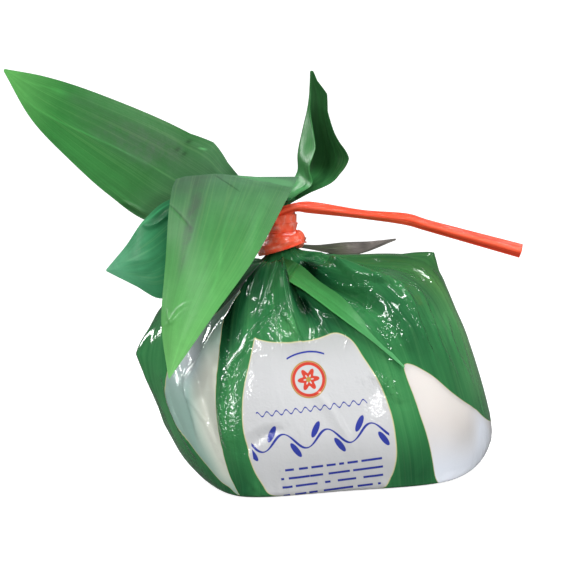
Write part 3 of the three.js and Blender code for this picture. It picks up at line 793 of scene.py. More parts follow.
filmInks = {
    "greens": [(0.0, (0.001, 0.014, 0.005)), (0.25, (0.011, 0.09, 0.031)), (0.5, (0.034, 0.19, 0.06)),
               (0.75, (0.08, 0.31, 0.105)), (1.0, (0.17, 0.46, 0.17))],
    "veins": (0.16, 0.4, 0.15, 1),
    "olive": (1.5, 0.92, 0.8, 1),  # what the green is multiplied by where it is less blue
    "paper": ((0.435, 0.445, 0.44, 1), (0.56, 0.565, 0.575, 1)),  # above, darker as painted shade, and towards the base
    "paperVeins": (0.4, 0.42, 0.43, 1),
    "Blue": (0.03, 0.045, 0.3, 1),
    "Red": (0.55, 0.05, 0.03, 1),
    "Gold": (0.42, 0.25, 0.05, 1),
    "hairline": (0.66, 0.6, 0.34, 1),
    "slack": ((0.28, 0.43, 0.37, 1), (0.82, 0.86, 0.94, 1)),  # a window off the cheese, plain and milky
    "close": ((0.95, 0.99, 0.86, 1), (0.92, 0.87, 0.84, 1)),  # and where it lies on the cheese
}


def filmMaterial(name, hasWindows):
    material, tree, surface, coords = newMaterial(name)
    streaks = useGroup(tree, leafStreaks, Vector=coords["UV"], Count=210.0, Seed=1.0)
    crumple = useGroup(tree, filmCrumple, Vector=coords["Object"], Scale=210.0)
    marks = useGroup(tree, labelPrint, Vector=coords["Object"])
    labelEdge, windowEdge = fieldOf(tree, "labelEdge"), fieldOf(tree, "windowEdge")
    inLabel, inWindow = stepAt(labelEdge, -0.05, 0.05), stepAt(windowEdge, -0.05, 0.05)

    # the tone marks darken and lighten the green: painted shade and painted light, and the print's own tones
    shade = plus(times(fieldOf(tree, "lightShadeAndPrintTone"), 0.3), 0.42)
    shade = plus(shade, times(minus(streaks["Broad"], 0.5), 0.4), times(minus(streaks["Fine"], 0.5), 0.3))
    green = colourSteps(shade, filmInks["greens"])
    green = mixColour(times(streaks["Veins"], 0.08), green, filmInks["veins"])
    olive = mixColour(1.0, green, filmInks["olive"], "MULTIPLY")
    green = mixColour(fieldOf(tree, "olive"), green, olive)

    # the label paper is painted darker towards its top, as shade, and paler lower down
    paper = mixColour(stepAt(partsOf(coords["UV"])["Y"], 0.7, 0.82), *filmInks["paper"])
    paper = mixColour(times(streaks["Fine"], 0.2), paper, filmInks["paperVeins"])
    for ink in ("Blue", "Red", "Gold"):
        paper = mixColour(marks[ink], paper, filmInks[ink])
    printed = mixColour(inLabel, green, paper)
    away = calc("MINIMUM", calc("ABSOLUTE", labelEdge), calc("ABSOLUTE", windowEdge))
    printed = mixColour(times(stepAt(away, 0.32, 0.12), 0.75), printed, filmInks["hairline"])

    if hasWindows:
        # the veil and milky marks also whiten the left window under leaf B's shadow, as painted light
        gap = plus(stepAt(fieldOf(tree, "standOff"), 2.0, 11.0), fieldOf(tree, "veilAndPaintedLight"), clamp=True)
        slack, close = (mixColour(fieldOf(tree, "milkyAndPaintedLight"), *filmInks[key]) for key in ("slack", "close"))
        printed = mixColour(inWindow, printed, mixColour(gap, close, slack))
        clear = addNode(tree, "ShaderNodeMapRange", {"Value": gap, "To Min": 0.6, "To Max": 0.93}).outputs[0]
        clear = addNode(tree, "ShaderNodeMix", {0: inWindow, 2: 1.0, 3: clear}, data_type="FLOAT").outputs[0]
        plug(surface, {"Alpha": clear})
    crisp = plus(fieldOf(tree, "crisp"), times(inWindow, 0.7), clamp=True)
    height = times(plus(crumple["Height"], times(crumple["Dimples"], 0.3)), fieldOf(tree, "crushed"))
    plug(surface, {
        "Base Color": printed,
        "Roughness": minus(0.11, times(crisp, 0.05)),
        "Specular IOR Level": 0.45,
        "Normal": bumpOf(height, 0.6, 0.0009),
    })
    return material


labelPrint = makeLabelPrint()
filmPiece = makeFilm()
filmMaterials = filmMaterial("printedFilm", False), filmMaterial("filmWindows", True)
finishPiece(filmPiece, "wrapper", ["wrapper"], *filmMaterials)
markWindows(filmPiece)


def makeCheese():
    piece, way = spherePiece("softCheese", 128, 80)
    power = cheeseShape["squareness"]
    size = (np.abs(way) ** power).sum(axis=1, keepdims=True) ** (1 / power)
    points = np.array(cheeseShape["middle"]) + way / size * np.array(cheeseShape["half"])
    angle = np.arctan2(way[:, 1], way[:, 0])
    height = way[:, 2]
    dents = 0.9 * np.sin(3 * angle + 1.1) * np.sin(2.2 * height + 0.6) + 0.5 * np.sin(7 * angle + 4 * height)
    points += way * dents[:, None]
    knot = np.clip(height - cheeseShape["knotFrom"], 0, 1) / (1 - cheeseShape["knotFrom"])
    points[:, 2] += cheeseShape["topKnot"] * knot ** 1.5
    points[:, 2] = np.maximum(points[:, 2], cheeseShape["liesAt"])
    placeVertices(piece, points)
    applyModifier(piece, "SHRINKWRAP", target=filmPiece, wrap_method="NEAREST_SURFACEPOINT",
                  wrap_mode="INSIDE", offset=cheeseShape["offFilm"] * mm)
    bpy.ops.object.shade_smooth()
    return piece


def cheeseMaterial():
    material, _, surface, coords = newMaterial("softWhiteCheese")
    cloud = noiseOf(coords["Object"], 45.0, 4.0)
    grain = noiseOf(coords["Object"], 260.0, 3.0)
    plug(surface, {
        "Base Color": mixColour(cloud, (0.86, 0.8, 0.75, 1), (0.93, 0.89, 0.84, 1)),
        "Subsurface Weight": 0.25,
        "Subsurface Radius": (0.006, 0.004, 0.003),
        "Subsurface Scale": 1.0,
        "Roughness": 0.32,
        "Coat Weight": 0.8,
        "Coat Roughness": 0.12,
        "Normal": bumpOf(grain, 0.25, 0.0005),
    })
    return material


cheesePiece = makeCheese()
finishPiece(cheesePiece, "wrapper", ["wrapper"], cheeseMaterial())


# The free leaf-shaped tips. Each is a sheet between two or more lines that leave the neck together
# and meet at the tip. Places on it are s across and t along.
leafThickness = 0.22
leaves = {
    "leafLong": {
        "node": "tip_long_left", "slot": "tip_film", "bulge": 1.5, "ripple": 1.0, "across": 90, "along": 220,
        "corners": [(0.0, 0.35, (1.1, 0, 1.2), 9.0)],  # s, t, pull and reach
        "creases": [
            ([(0.77, 0.87), (0.6, 0.68), (0.53, 0.53), (0.5, 0.36)], 0.3, 2.2),
            ([(0.98, 0.46), (0.95, 0.42), (0.94, 0.36)], 0.9, 1.3),
            ([(0.12, 0.44), (0.1, 0.37)], 0.4, 1.4),
            ([(0.02, 0.35), (0.16, 0.31), (0.2, 0.24)], 0.7, 3.0),
        ],
        "veins": [
            ([(0.78, 0.88), (0.65, 0.735), (0.57, 0.62), (0.53, 0.53), (0.5, 0.36)], 0.55, 0.5),
            ([(0.3, 0.9), (0.2, 0.8), (0.18, 0.7)], 0.7, 0.2),
            ([(0.93, 0.52), (0.92, 0.4)], 1.2, 0.25),
            # a bright line beside the dark spots: painted highlight where the film glints
            ([(0.11, 0.38), (0.09, 0.35)], 0.5, 1.6),
        ],
        "lightShadeAndPrintTones": [(0.2, 0.765, 0.06, 0.025, 0.3), (0.8, 0.62, 0.2, 0.25, 0.12),
                  # the first below darkens the leaf near its base under the folded leaf: painted shadow
                  (0.62, 0.3, 0.4, 0.07, -0.35), (0.09, 0.425, 0.03, 0.01, -0.5),
                  (0.22, 0.435, 0.03, 0.008, -0.45), (0.22, 0.405, 0.03, 0.008, -0.45),
                  (0.02, 0.22, 0.12, 0.05, -0.4), (0.97, 0.42, 0.06, 0.05, -0.25)],
        "browns": [(0.38, 0.56, 0.2, 0.12, 0.75), (0.28, 0.45, 0.2, 0.1, 0.6),
                   (0.2, 0.7, 0.1, 0.05, 0.3)],
        "lines": [
            [(-16.4, 3.6, 102), (-25, 5.5, 106.5), (-36.4, 8.4, 120.8), (-50, 10.2, 130.4),
             (-78, 10, 144.4), (-97, 8.6, 151.9), (-110.4, 6, 155.6)],
            [(-17, 1.6, 99.2), (-36, 0.6, 94.6), (-61, -0.8, 96), (-76, 0, 107), (-90, 2, 121.5),
             (-102, 4, 136.6), (-110.8, 6, 154.8)],
        ],
    },
    "leafFolded": {
        "node": "tip_folded_front", "slot": "tip_film", "bulge": 3.0, "ripple": 0.5,
        "across": 90, "along": 240, "foldAt": 2,
        "corners": [(0.33, 0.333, (0, 0, 1.2), 15.0), (0.0, 0.333, (0.6, 0, -0.7), 4.0)],
        "creases": [
            ([(0.0, 0.49), (0.12, 0.535), (0.23, 0.575)], -0.4, 0.7),
            ([(0.33, 0.34), (0.45, 0.39), (0.58, 0.45)], -0.4, 0.7),
            ([(0.36, 0.342), (0.65, 0.378), (0.99, 0.43)], 0.7, 1.3),
            ([(0.14, 0.80), (0.2, 0.825), (0.36, 0.80), (0.53, 0.785)], 0.7, 1.1),
            ([(0.1, 0.835), (0.3, 0.83), (0.5, 0.8)], 0.5, 1.0),
            ([(0.7, 0.5), (0.8, 0.62), (0.95, 0.72)], 0.4, 3.5),
        ],
        "veins": [
            ([(0.56, 0.46), (0.57, 0.6), (0.7, 0.7), (0.8, 0.79)], 0.8, 0.2),
            ([(0.78, 0.42), (0.82, 0.54), (0.93, 0.66)], 2.4, 0.22),
            ([(0.4, 0.5), (0.45, 0.64), (0.55, 0.77)], 1.2, 0.12),
            # these two darken the crease lines: painted shade in the creases
            ([(0.0, 0.49), (0.12, 0.535), (0.23, 0.575)], 0.45, -0.6),
            ([(0.33, 0.34), (0.45, 0.39), (0.58, 0.45)], 0.45, -0.55),
            ([(0.3, 0.7), (0.4, 0.85), (0.6, 0.95)], 2.0, 0.1),
            ([(0.31, 0.34), (0.3, 0.45), (0.27, 0.6), (0.24, 0.7)], 0.6, 0.2),
        ],
        "greys": [([(0.5, 0.338), (0.75, 0.355), (1.0, 0.38)], 1.5), ([(0.8, 0.37), (1.0, 0.4)], 1.3)],
        "lightShadeAndPrintTones": [(0.05, 0.42, 0.1, 0.1, -0.1), (0.75, 0.9, 0.4, 0.06, 0.1),
                  (0.8, 0.36, 0.45, 0.05, 0.3)],
        "browns": [(0.22, 0.42, 0.08, 0.1, 1.0), (0.22, 0.55, 0.07, 0.09, 0.95),
                   (0.22, 0.66, 0.05, 0.06, 0.5), (0.08, 0.38, 0.12, 0.05, 0.5),
                   (0.25, 0.35, 0.3, 0.015, 0.4)],
        "lines": [
            [(-15.8, -5, 101.6), (-34, -6, 106.5), (-50.8, -8.6, 111.6), (-53, -15, 101.5),
             (-55.4, -22, 82), (-57.8, -28.5, 61), (-56.8, -33, 43.6)],
            [(-11.6, -5, 102), (-9, -6, 105.4), (-6.5, -9.6, 108.5), (-11.4, -16, 100.6),
             (-24, -29.4, 81.6), (-40, -39.2, 63.6), (-56.4, -33.8, 43.1)],
        ],
    },
    "leafCorner": {
        "node": "tip_corner_left", "slot": "tip_film", "bulge": 2.0, "ripple": 0.4,
        "across": 60, "along": 120,
        "creases": [
            ([(0.02, 0.62), (0.13, 0.56), (0.17, 0.48), (0.12, 0.4)], 1.2, 1.5),
            ([(0.3, 0.9), (0.45, 0.7), (0.5, 0.5)], 0.5, 4.0),
            ([(0.75, 0.85), (0.7, 0.7), (0.6, 0.55)], -0.4, 3.0),
        ],
        "veins": [
            # a light line along the curled rim: painted highlight
            ([(0.02, 0.66), (0.05, 0.5), (0.05, 0.4)], 0.5, 0.7),
            ([(0.4, 0.92), (0.4, 0.75), (0.36, 0.6)], 1.0, 0.2),
            ([(0.62, 0.9), (0.58, 0.7), (0.5, 0.5)], 0.8, 0.2),
        ],
        # the first darkens the hollow inside the curled rim: painted shade
        "lightShadeAndPrintTones": [(0.1, 0.5, 0.08, 0.1, -0.4), (0.6, 0.88, 0.5, 0.1, 0.25), (0.5, 0.45, 0.6, 0.1, -0.3)],
        "lines": [
            [(-17.8, -3.6, 101.2), (-34, -8, 102), (-52.7, -9.8, 104), (-62.7, -10.5, 97.4),
             (-70, -8.6, 88.6), (-78.4, -6, 80.3)],
            [(-17.8, -4.4, 99.2), (-31, -8.4, 86.5), (-46, -12, 75.5), (-58.1, -12.8, 68.9),
             (-68, -10, 74), (-78.4, -6, 79.7)],
        ],
    },
    "leafUpright": {
        "node": "tip_upright_right", "slot": "tip_film", "bulge": 0.0, "ripple": 0.0,
        "across": 72, "along": 120,
        "corners": [(0.0, 0.5, (1.2, 0, -0.2), 6.0), (0.0, 0.83, (1.5, 0, 0.6), 6.0),
                    (0.98, 0.42, (-0.8, 0, 0), 5.0), (0.98, 0.62, (0.5, 0, 0), 5.0)],
        "creases": [
            ([(0.85, 0.12), (0.9, 0.3), (0.8, 0.4)], 0.8, 1.6),
            ([(0.7, 0.1), (0.66, 0.25), (0.7, 0.36)], -0.8, 1.6),
            ([(0.05, 0.3), (0.12, 0.5), (0.1, 0.75)], 0.6, 3.0),
            ([(0.2, 0.25), (0.26, 0.45), (0.22, 0.6)], -0.5, 2.5),
        ],
        "veins": [
            ([(0.99, 0.3), (0.99, 0.6), (0.99, 0.85)], 0.5, 0.5),
            ([(0.12, 0.85), (0.14, 0.6), (0.12, 0.4)], 0.6, 0.25),
        ],
        # the first two darken the inner right side as painted shade and lighten the folded left margin as
        # painted light
        "lightShadeAndPrintTones": [(0.15, 0.5, 0.25, 0.6, -0.5), (0.85, 0.55, 0.2, 0.5, 0.45), (0.8, 0.2, 0.3, 0.12, 0.3),
                  (0.45, 0.5, 0.1, 0.5, -0.3), (0.4, 0.25, 0.2, 0.1, 0.5), (0.5, 0.05, 1.0, 0.07, -0.4)],
        "lines": [
            [(-10.6, -0.6, 98.6), (-3.5, -1, 101.8), (7, -3, 106.4), (11.2, -4, 113.7),
             (7.6, -2.6, 124), (4.8, 0.4, 137), (2.1, 2, 145.8)],
            [(-11, 2.2, 99), (-5, 4.8, 104.6), (0, 6.2, 109), (2.6, 6.4, 115), (3, 6, 124),
             (2.8, 4.4, 135), (1.6, 2.4, 146.2)],
            [(-12.6, 2.6, 99), (-8.8, 4.2, 105), (-6.3, 5, 109.8), (-5.6, 5, 117), (-3.4, 5, 125),
             (-0.4, 4, 135), (1.2, 2.2, 146.2)],
            [(-12.4, -3, 98.6), (-6.4, -4.8, 102.4), (-1.4, -6, 105.6), (-1.7, -5, 112),
             (0.4, -2.6, 119.6), (-0.2, 1.2, 132), (0.9, 1.9, 145.8)],
        ],
    },
    "leafBack": {
        "node": "tip_back_right", "slot": "tip_film_inside", "bulge": 0.8, "ripple": 0.4,
        "across": 40, "along": 96,
        "creases": [
            ([(0.5, 0.5), (0.6, 0.7), (0.7, 0.92)], 0.8, 1.8),
            ([(0.3, 0.3), (0.35, 0.5), (0.3, 0.7)], -0.5, 1.8),
        ],
        "veins": [
            ([(0.97, 0.2), (0.97, 0.5), (0.97, 0.9)], 0.7, -0.6),
            ([(0.03, 0.5), (0.03, 0.75), (0.4, 0.98)], 0.8, -0.6),
            ([(0.6, 0.2), (0.6, 0.35), (0.58, 0.5)], 1.2, 0.3),
        ],
        "lightShadeAndPrintTones": [(0.6, 0.4, 0.6, 0.06, -0.5), (0.6, 0.6, 0.4, 0.05, 0.15), (0.6, 0.71, 0.5, 0.035, -0.4),
                  (0.7, 0.86, 0.3, 0.06, 0.25), (0.62, 0.52, 0.12, 0.016, 0.6),
                  (0.5, 0.57, 0.15, 0.012, 0.5), (0.6, 0.79, 0.2, 0.014, 0.5)],
        "lines": [
            [(-8.6, 4.4, 82.4), (1.8, 9.6, 79.2), (15.4, 17, 77.2), (30.1, 31.4, 80.2)],
            [(-10.8, 6.4, 83.4), (0.2, 20, 81.6), (14, 29.2, 80.5), (30.1, 32.4, 80.6)],
        ],
    },
    "pleatFront": {
        "node": "pleat_front", "slot": "tip_film", "bulge": 0.0, "ripple": 0.0, "across": 36, "along": 120,
        "creases": [
            ([(0.0, 0.2), (0.5, 0.2), (1.0, 0.23)], 0.9, 1.3),
            ([(0.6, 0.25), (0.55, 0.5), (0.5, 0.8)], 0.5, 2.5),
        ],
        "veins": [
            ([(0.97, 0.25), (0.97, 0.5), (0.97, 0.8)], 0.5, 0.4),
            ([(0.0, 0.2), (0.5, 0.2), (1.0, 0.23)], 0.5, 0.4),
            ([(0.4, 0.3), (0.4, 0.6), (0.45, 0.9)], 0.8, 0.12),
        ],
        "lightShadeAndPrintTones": [(0.2, 0.08, 0.5, 0.1, -0.35), (0.1, 0.4, 0.15, 0.3, -0.12), (0.8, 0.3, 0.4, 0.35, 0.4)],
        "lines": [
            [(-14.1, -9.5, 79.8), (-9.1, -11, 77.7), (-1.8, -20.5, 71.4), (5.5, -28.5, 66),
             (14, -36.9, 55.5), (24.4, -42.6, 42.4)],
            [(-14.7, -10.4, 78.5), (-13.9, -20, 73.6), (-7.9, -25.5, 69.4), (2.9, -35.5, 60.9),
             (13.5, -41, 52.2), (24.1, -42.9, 42)],
        ],
    },
}


def trackAt(line, t, foldAt):
    # a line of a leaf, in two curves that meet in a sharp fold if it has one
    if foldAt is None:
        return curveAt(line, t)
    share = foldAt / (len(line) - 1)
    before = curveAt(line[:foldAt + 1], np.clip(t / share, 0, 1))
    after = curveAt(line[foldAt:], np.clip((t - share) / (1 - share), 0, 1))
    return np.where((t < share)[:, None], before, after)


def leafPoints(s, t, lines, bulge, ripple, foldAt=None):
    tracks = np.stack([trackAt(line, t, foldAt) for line in lines])
    tangents = [curveAt(line, np.minimum(t + 0.005, 1)) - curveAt(line, np.maximum(t - 0.005, 0))
                for line in (lines[0], lines[-1])]
    out = np.cross(sum(v / np.maximum(lengthOf(v), 1e-9) for v in tangents), tracks[-1] - tracks[0])
    out /= np.maximum(lengthOf(out), 1e-9)
    wave = ripple * np.sin(3 * math.pi * t + 2.2 * s) * np.abs(2 * s - 1)
    share = (foldAt or 0) / (len(lines[0]) - 1)  # a folded leaf lies flat up to its fold
    swell = np.sin(math.pi * np.clip((t - share) / (1 - share), 0, 1))
    return curveAt(tracks, s) + out * ((4 * bulge * s * (1 - s) + wave) * swell)[:, None], out


def nearLine(points, line):
    # distance from every point to a line in space, and how far along it the nearest place is
    best = np.full(len(points), 1e9)
    along = np.zeros(len(points))
    for i, (a, b) in enumerate(zip(line, line[1:])):
        t = np.clip((points - a) @ (b - a) / max(((b - a) ** 2).sum(), 1e-9), 0, 1)
        distance = lengthOf(points - a - t[:, None] * (b - a))[:, 0]
        near = distance < best
        best[near] = distance[near]
        along[near] = (i + t[near]) / (len(line) - 1)
    return best, along


def makeLeaf(name):
    shape = leaves[name]
    form = shape["lines"], shape["bulge"], shape["ripple"], shape.get("foldAt")
    piece, s, t = gridPiece(name, shape["across"], shape["along"])
    flat, out = leafPoints(s, t, *form)

    def along(marks, reach):
        # 1 on a line drawn on the leaf, 0 farther off than its reach, and fading at its ends
        marks = curveAt([(*mark, 0) for mark in marks], np.linspace(0, 1, 14))
        line, _ = leafPoints(marks[:, 0], marks[:, 1], *form)
        distance, done = nearLine(flat, line)
        return np.clip(1 - distance / reach, 0, 1) * np.sin(math.pi * np.clip(done, 0.02, 0.98)) ** 0.5

    lift = sum(height * along(marks, reach) ** 1.2 for marks, height, reach in shape["creases"])
    points = flat + out * lift[:, None]
    for spotS, spotT, pull, reach in shape.get("corners", []):
        middle, _ = leafPoints(np.array([spotS]), np.array([spotT]), *form)
        points += np.array(pull) * np.clip(1 - lengthOf(flat - middle) / reach, 0, 1)
    placeVertices(piece, points)
    # the leaf's tone marks and drawn lines: the print's own marks, with some painted shade and painted
    # highlights
    lightShadeAndPrintTone = spots(s, t, shape["lightShadeAndPrintTones"])
    for marks, reach, amount in shape["veins"]:
        lightShadeAndPrintTone += amount * along(marks, reach)
    addField(piece, "lightShadeAndPrintTone", lightShadeAndPrintTone)
    addField(piece, "brown", spots(s, t, shape.get("browns", [])))
    addField(piece, "grey", sum((smooth(1.6 * along(*line)) for line in shape.get("greys", [])), 0 * s))
    thicken(piece, leafThickness, offset=0, material_offset=1, material_offset_rim=1)
    return piece


leafLooks = {  # colours from the neck to the tip, and how many printed veins
    "leafLong": {
        "count": 46.0, "seed": 3.0,
        "stops": [(0.0, (0.025, 0.12, 0.04)), (0.3, (0.054, 0.16, 0.064)), (0.45, (0.025, 0.125, 0.03)),
                  (0.75, (0.026, 0.15, 0.031)), (0.88, (0.06, 0.24, 0.056)), (1.0, (0.095, 0.34, 0.08))],
    },
    "leafFolded": {
        "count": 34.0, "seed": 5.0,
        "stops": [(0.0, (0.04, 0.13, 0.05)), (0.35, (0.058, 0.136, 0.072)), (0.6, (0.052, 0.205, 0.058)),
                  (0.8, (0.087, 0.32, 0.083)), (1.0, (0.19, 0.54, 0.16))],
    },
    "leafCorner": {
        "count": 30.0, "seed": 9.0,
        "stops": [(0.0, (0.01, 0.09, 0.04)), (0.5, (0.024, 0.19, 0.07)), (0.8, (0.06, 0.25, 0.12)),
                  (1.0, (0.1, 0.32, 0.18))],
    },
    "leafUpright": {
        "count": 36.0, "seed": 12.0,
        "stops": [(0.0, (0.05, 0.23, 0.07)), (0.3, (0.045, 0.21, 0.063)), (0.42, (0.028, 0.13, 0.035)),
                  (1.0, (0.035, 0.15, 0.045))],
    },
    "leafBack": {
        "count": 12.0, "seed": 15.0, "mottle": 1.7,
        "stops": [(0.0, (0.035, 0.045, 0.025)), (0.5, (0.06, 0.06, 0.042)), (0.62, (0.09, 0.078, 0.072)),
                  (1.0, (0.1, 0.09, 0.082))],
    },
    "pleatFront": {
        "count": 12.0, "seed": 18.0,
        "stops": [(0.0, (0.012, 0.09, 0.02)), (0.3, (0.032, 0.15, 0.038)), (0.6, (0.038, 0.19, 0.05)),
                  (1.0, (0.09, 0.34, 0.13))],
    },
}


def leafMaterial(name):
    look = leafLooks[name]
    material, tree, surface, coords = newMaterial(name + "Film")
    streaks = useGroup(tree, leafStreaks, Vector=coords["UV"], Count=look["count"], Seed=look["seed"])
    crumple = useGroup(tree, filmCrumple, Vector=coords["Object"], Scale=120.0)
    base = colourSteps(partsOf(coords["UV"])["Y"], look["stops"])
    speckle = noiseOf(coords["Object"], 190.0, 5.0, 0.7)
    shade = plus(times(streaks["Broad"], 0.5), times(streaks["Fine"], 0.5))
    shade = plus(shade, times(speckle, look.get("mottle", 0.4)))
    # the tone marks and lines lighten and darken the leaf, some of them as painted shade and painted
    # highlights
    gain = times(plus(times(shade, 0.8), 0.48), plus(fieldOf(tree, "lightShadeAndPrintTone"), 1.0))
    grey = addNode(tree, "ShaderNodeCombineColor", {"Red": gain, "Green": gain, "Blue": gain}).outputs[0]
    brown = times(fieldOf(tree, "brown"), plus(times(speckle, 2.4), -0.5), clamp=True)
    colour = mixColour(1.0, mixColour(brown, base, (0.055, 0.1, 0.06, 1)), grey, "MULTIPLY")
    colour = mixColour(times(streaks["Veins"], 0.06), colour, (0.3, 0.55, 0.2, 1))
    colour = mixColour(fieldOf(tree, "grey"), colour, (0.09, 0.25, 0.11, 1))
    height = plus(times(crumple["Height"], 0.6), times(streaks["Fine"], 0.2))
    plug(surface, {
        "Base Color": colour,
        "Roughness": 0.3,
        "Specular IOR Level": 0.12,
        "Normal": bumpOf(height, 0.3, 0.0006),
    })
    return material


def reverseMaterial():
    material, tree, surface, coords = newMaterial("filmReverse")
    streaks = useGroup(tree, leafStreaks, Vector=coords["UV"], Count=30.0, Seed=21.0)
    plug(surface, {
        "Base Color": mixColour(streaks["Broad"], (0.05, 0.2, 0.07, 1), (0.11, 0.3, 0.12, 1)),
        "Roughness": 0.3,
        "Coat Weight": 0.4,
        "Coat Roughness": 0.1,
    })
    return material


filmReverse = reverseMaterial()
for leafName, leaf in leaves.items():
    finishPiece(makeLeaf(leafName), leaf["slot"], [leaf["node"]], leafMaterial(leafName), filmReverse)


# Two bands round the neck, a knot and one long end.
ribbonShape = {
    "axis": (-14.2, 0.0),
    "bands": {  # bottom, top, how far the bottom rises to the right, radius at both, bulge, creases, depth
        "ribbonUpperBand": (88.2, 97.4, 0.4, (5.8, 5.6), 0.3, 7, 0.25),
        "ribbonLowerBand": (82.5, 88.6, 2.0, (8.9, 6.0), 0.9, 5, 0.3),
    },
    "endMiddle": [(-15, -5.4, 96), (-8, -4.8, 97.5), (-4, -4.3, 97.2), (16, -6.1, 93.1), (32, -8.2, 90.1),
                  (38, -9.2, 87.8), (71.2, -12.1, 76)],
    "bandThick": 0.5,
    "endWidth": [2.8, 2.8, 3.8, 2.8, 3.9, 3.7, 4.7],
    "endFold": 1.6,
    "endThick": 0.6,
    "knotMiddle": (-8.1, -2.6, 85.8),
    "knotSize": (2.4, 2.4, 3.2),
    # the pale pink stops at the top are partly painted highlights on the plastic's streaks
    "redsAndPaintedHighlights": [(0.28, (0.6, 0.03, 0.012)), (0.45, (1.0, 0.1, 0.04)), (0.56, (1.0, 0.17, 0.09)),
             (0.68, (1.0, 0.42, 0.36))],
}


def makeBand(name):
    bottom, top, rise, radius, bulge, creases, depth = ribbonShape["bands"][name]
    piece, s, t = gridPiece(name, 160, 90)
    turn = 2 * math.pi * s
    wraps = (3 * t + s + 0.06 * np.sin(3 * turn)) % 1  # each turn of the ribbon laps over the one before
    crease = depth * np.sin(creases * turn + 5 * t) * np.sin(math.pi * t)
    r = lerp(radius[0], radius[1], t) + crease + bulge * np.sin(math.pi * t) + 0.5 * wraps ** 2 - 0.2
    z = lerp(bottom + rise * np.cos(turn), top + 0.3 * np.cos(turn), t)
    axis = ribbonShape["axis"]
    placeVertices(piece, np.stack([axis[0] + r * np.cos(turn), axis[1] + r * np.sin(turn), z], axis=1))
    closeShell(piece)
    thicken(piece, ribbonShape["bandThick"], offset=-1)
    return piece


def makeRibbonEnd():
    piece, s, t = gridPiece("ribbonEnd", 24, 160)
    middle = np.array(ribbonShape["endMiddle"], float)
    before = np.concatenate([middle[:1], middle[:-1]])
    after = np.concatenate([middle[1:], middle[-1:]])
    up = np.stack([before[:, 2] - after[:, 2], 0 * before[:, 0], after[:, 0] - before[:, 0]], axis=1)
    up *= np.array(ribbonShape["endWidth"])[:, None] / 2 / lengthOf(up)
    crease = middle - np.array((0, ribbonShape["endFold"], 0))
    points, _ = leafPoints(s, t, [middle + up, crease, middle - up], 0, 0)
    placeVertices(piece, points)
    thicken(piece, ribbonShape["endThick"], offset=0)
    return piece


def makeKnot():
    piece, way = spherePiece("ribbonKnot", 40, 24)
    turn = np.arctan2(way[:, 1], way[:, 0])
    size = 1 + 0.08 * np.sin(5 * turn + 4 * way[:, 2])
    half, middle = np.array(ribbonShape["knotSize"]), np.array(ribbonShape["knotMiddle"])
    placeVertices(piece, way * size[:, None] * half + middle)
    bpy.ops.object.shade_smooth()
    return piece


def ribbonMaterial(name, paler):
    material, tree, surface, coords = newMaterial(name)
    streaks = useGroup(tree, leafStreaks, Vector=coords["UV"], Count=20.0, Seed=31.0)
    # paler moves the streaks towards the pale pink stops: more painted highlight on the bands, less on the
    # end
    share = plus(times(streaks["Broad"], 0.5), times(streaks["Fine"], 0.5), paler)
    height = plus(streaks["Broad"], times(streaks["Fine"], 0.5))
    plug(surface, {
        "Base Color": colourSteps(share, ribbonShape["redsAndPaintedHighlights"]),
        "Roughness": 0.12,
        "Specular IOR Level": 0.45,
        "Normal": bumpOf(height, 0.6, 0.0008),
    })
    return material


crushedPlastic = ribbonMaterial("crushedPlastic", 0.03)
for bandName in ribbonShape["bands"]:
    finishPiece(makeBand(bandName), "ribbon", ["ribbon"], crushedPlastic)
finishPiece(makeRibbonEnd(), "ribbon", ["ribbon"], ribbonMaterial("smoothPlastic", -0.09))
finishPiece(makeKnot(), "ribbon", ["ribbon"], crushedPlastic)


stageShape = {  # in millimetres
    "wide": 8000,
    "long": 6000,
    "front": -2000,
    "bendsAt": 3200,  # how far from the front it turns up behind the part
    "bend": 800,
    "below": 0.1,
    "glow": 0.9,
}


def makeStage():
    # a floor that turns up into a wall, a little brighter to the camera than its light makes it
    floor, s, t = gridPiece("floor", 2, 60)
    run, turnsAt, radius = t * stageShape["long"], stageShape["bendsAt"], stageShape["bend"]
    bend = np.clip((run - turnsAt) / radius, 0, math.pi / 2)
    y = stageShape["front"] + np.minimum(run, turnsAt) + radius * np.sin(bend)
    z = radius * (1 - np.cos(bend)) + np.maximum(run - turnsAt - radius * math.pi / 2, 0)
    placeVertices(floor, np.stack([(s - 0.5) * stageShape["wide"], y, z - stageShape["below"]], axis=1))
    bpy.ops.object.shade_smooth()
    material, tree, surface, _ = newMaterial("paleFloor")
    seen = addNode(tree, "ShaderNodeLightPath").outputs["Is Camera Ray"]
    plug(surface, {
        "Base Color": (0.5, 0.5, 0.5, 1),
        "Roughness": 0.8,
        "Specular IOR Level": 0.0,
        "Emission Color": (1, 1, 1, 1),
        "Emission Strength": times(seen, stageShape["glow"]),
    })
    floor.data.materials.append(material)
    floor.visible_glossy = False


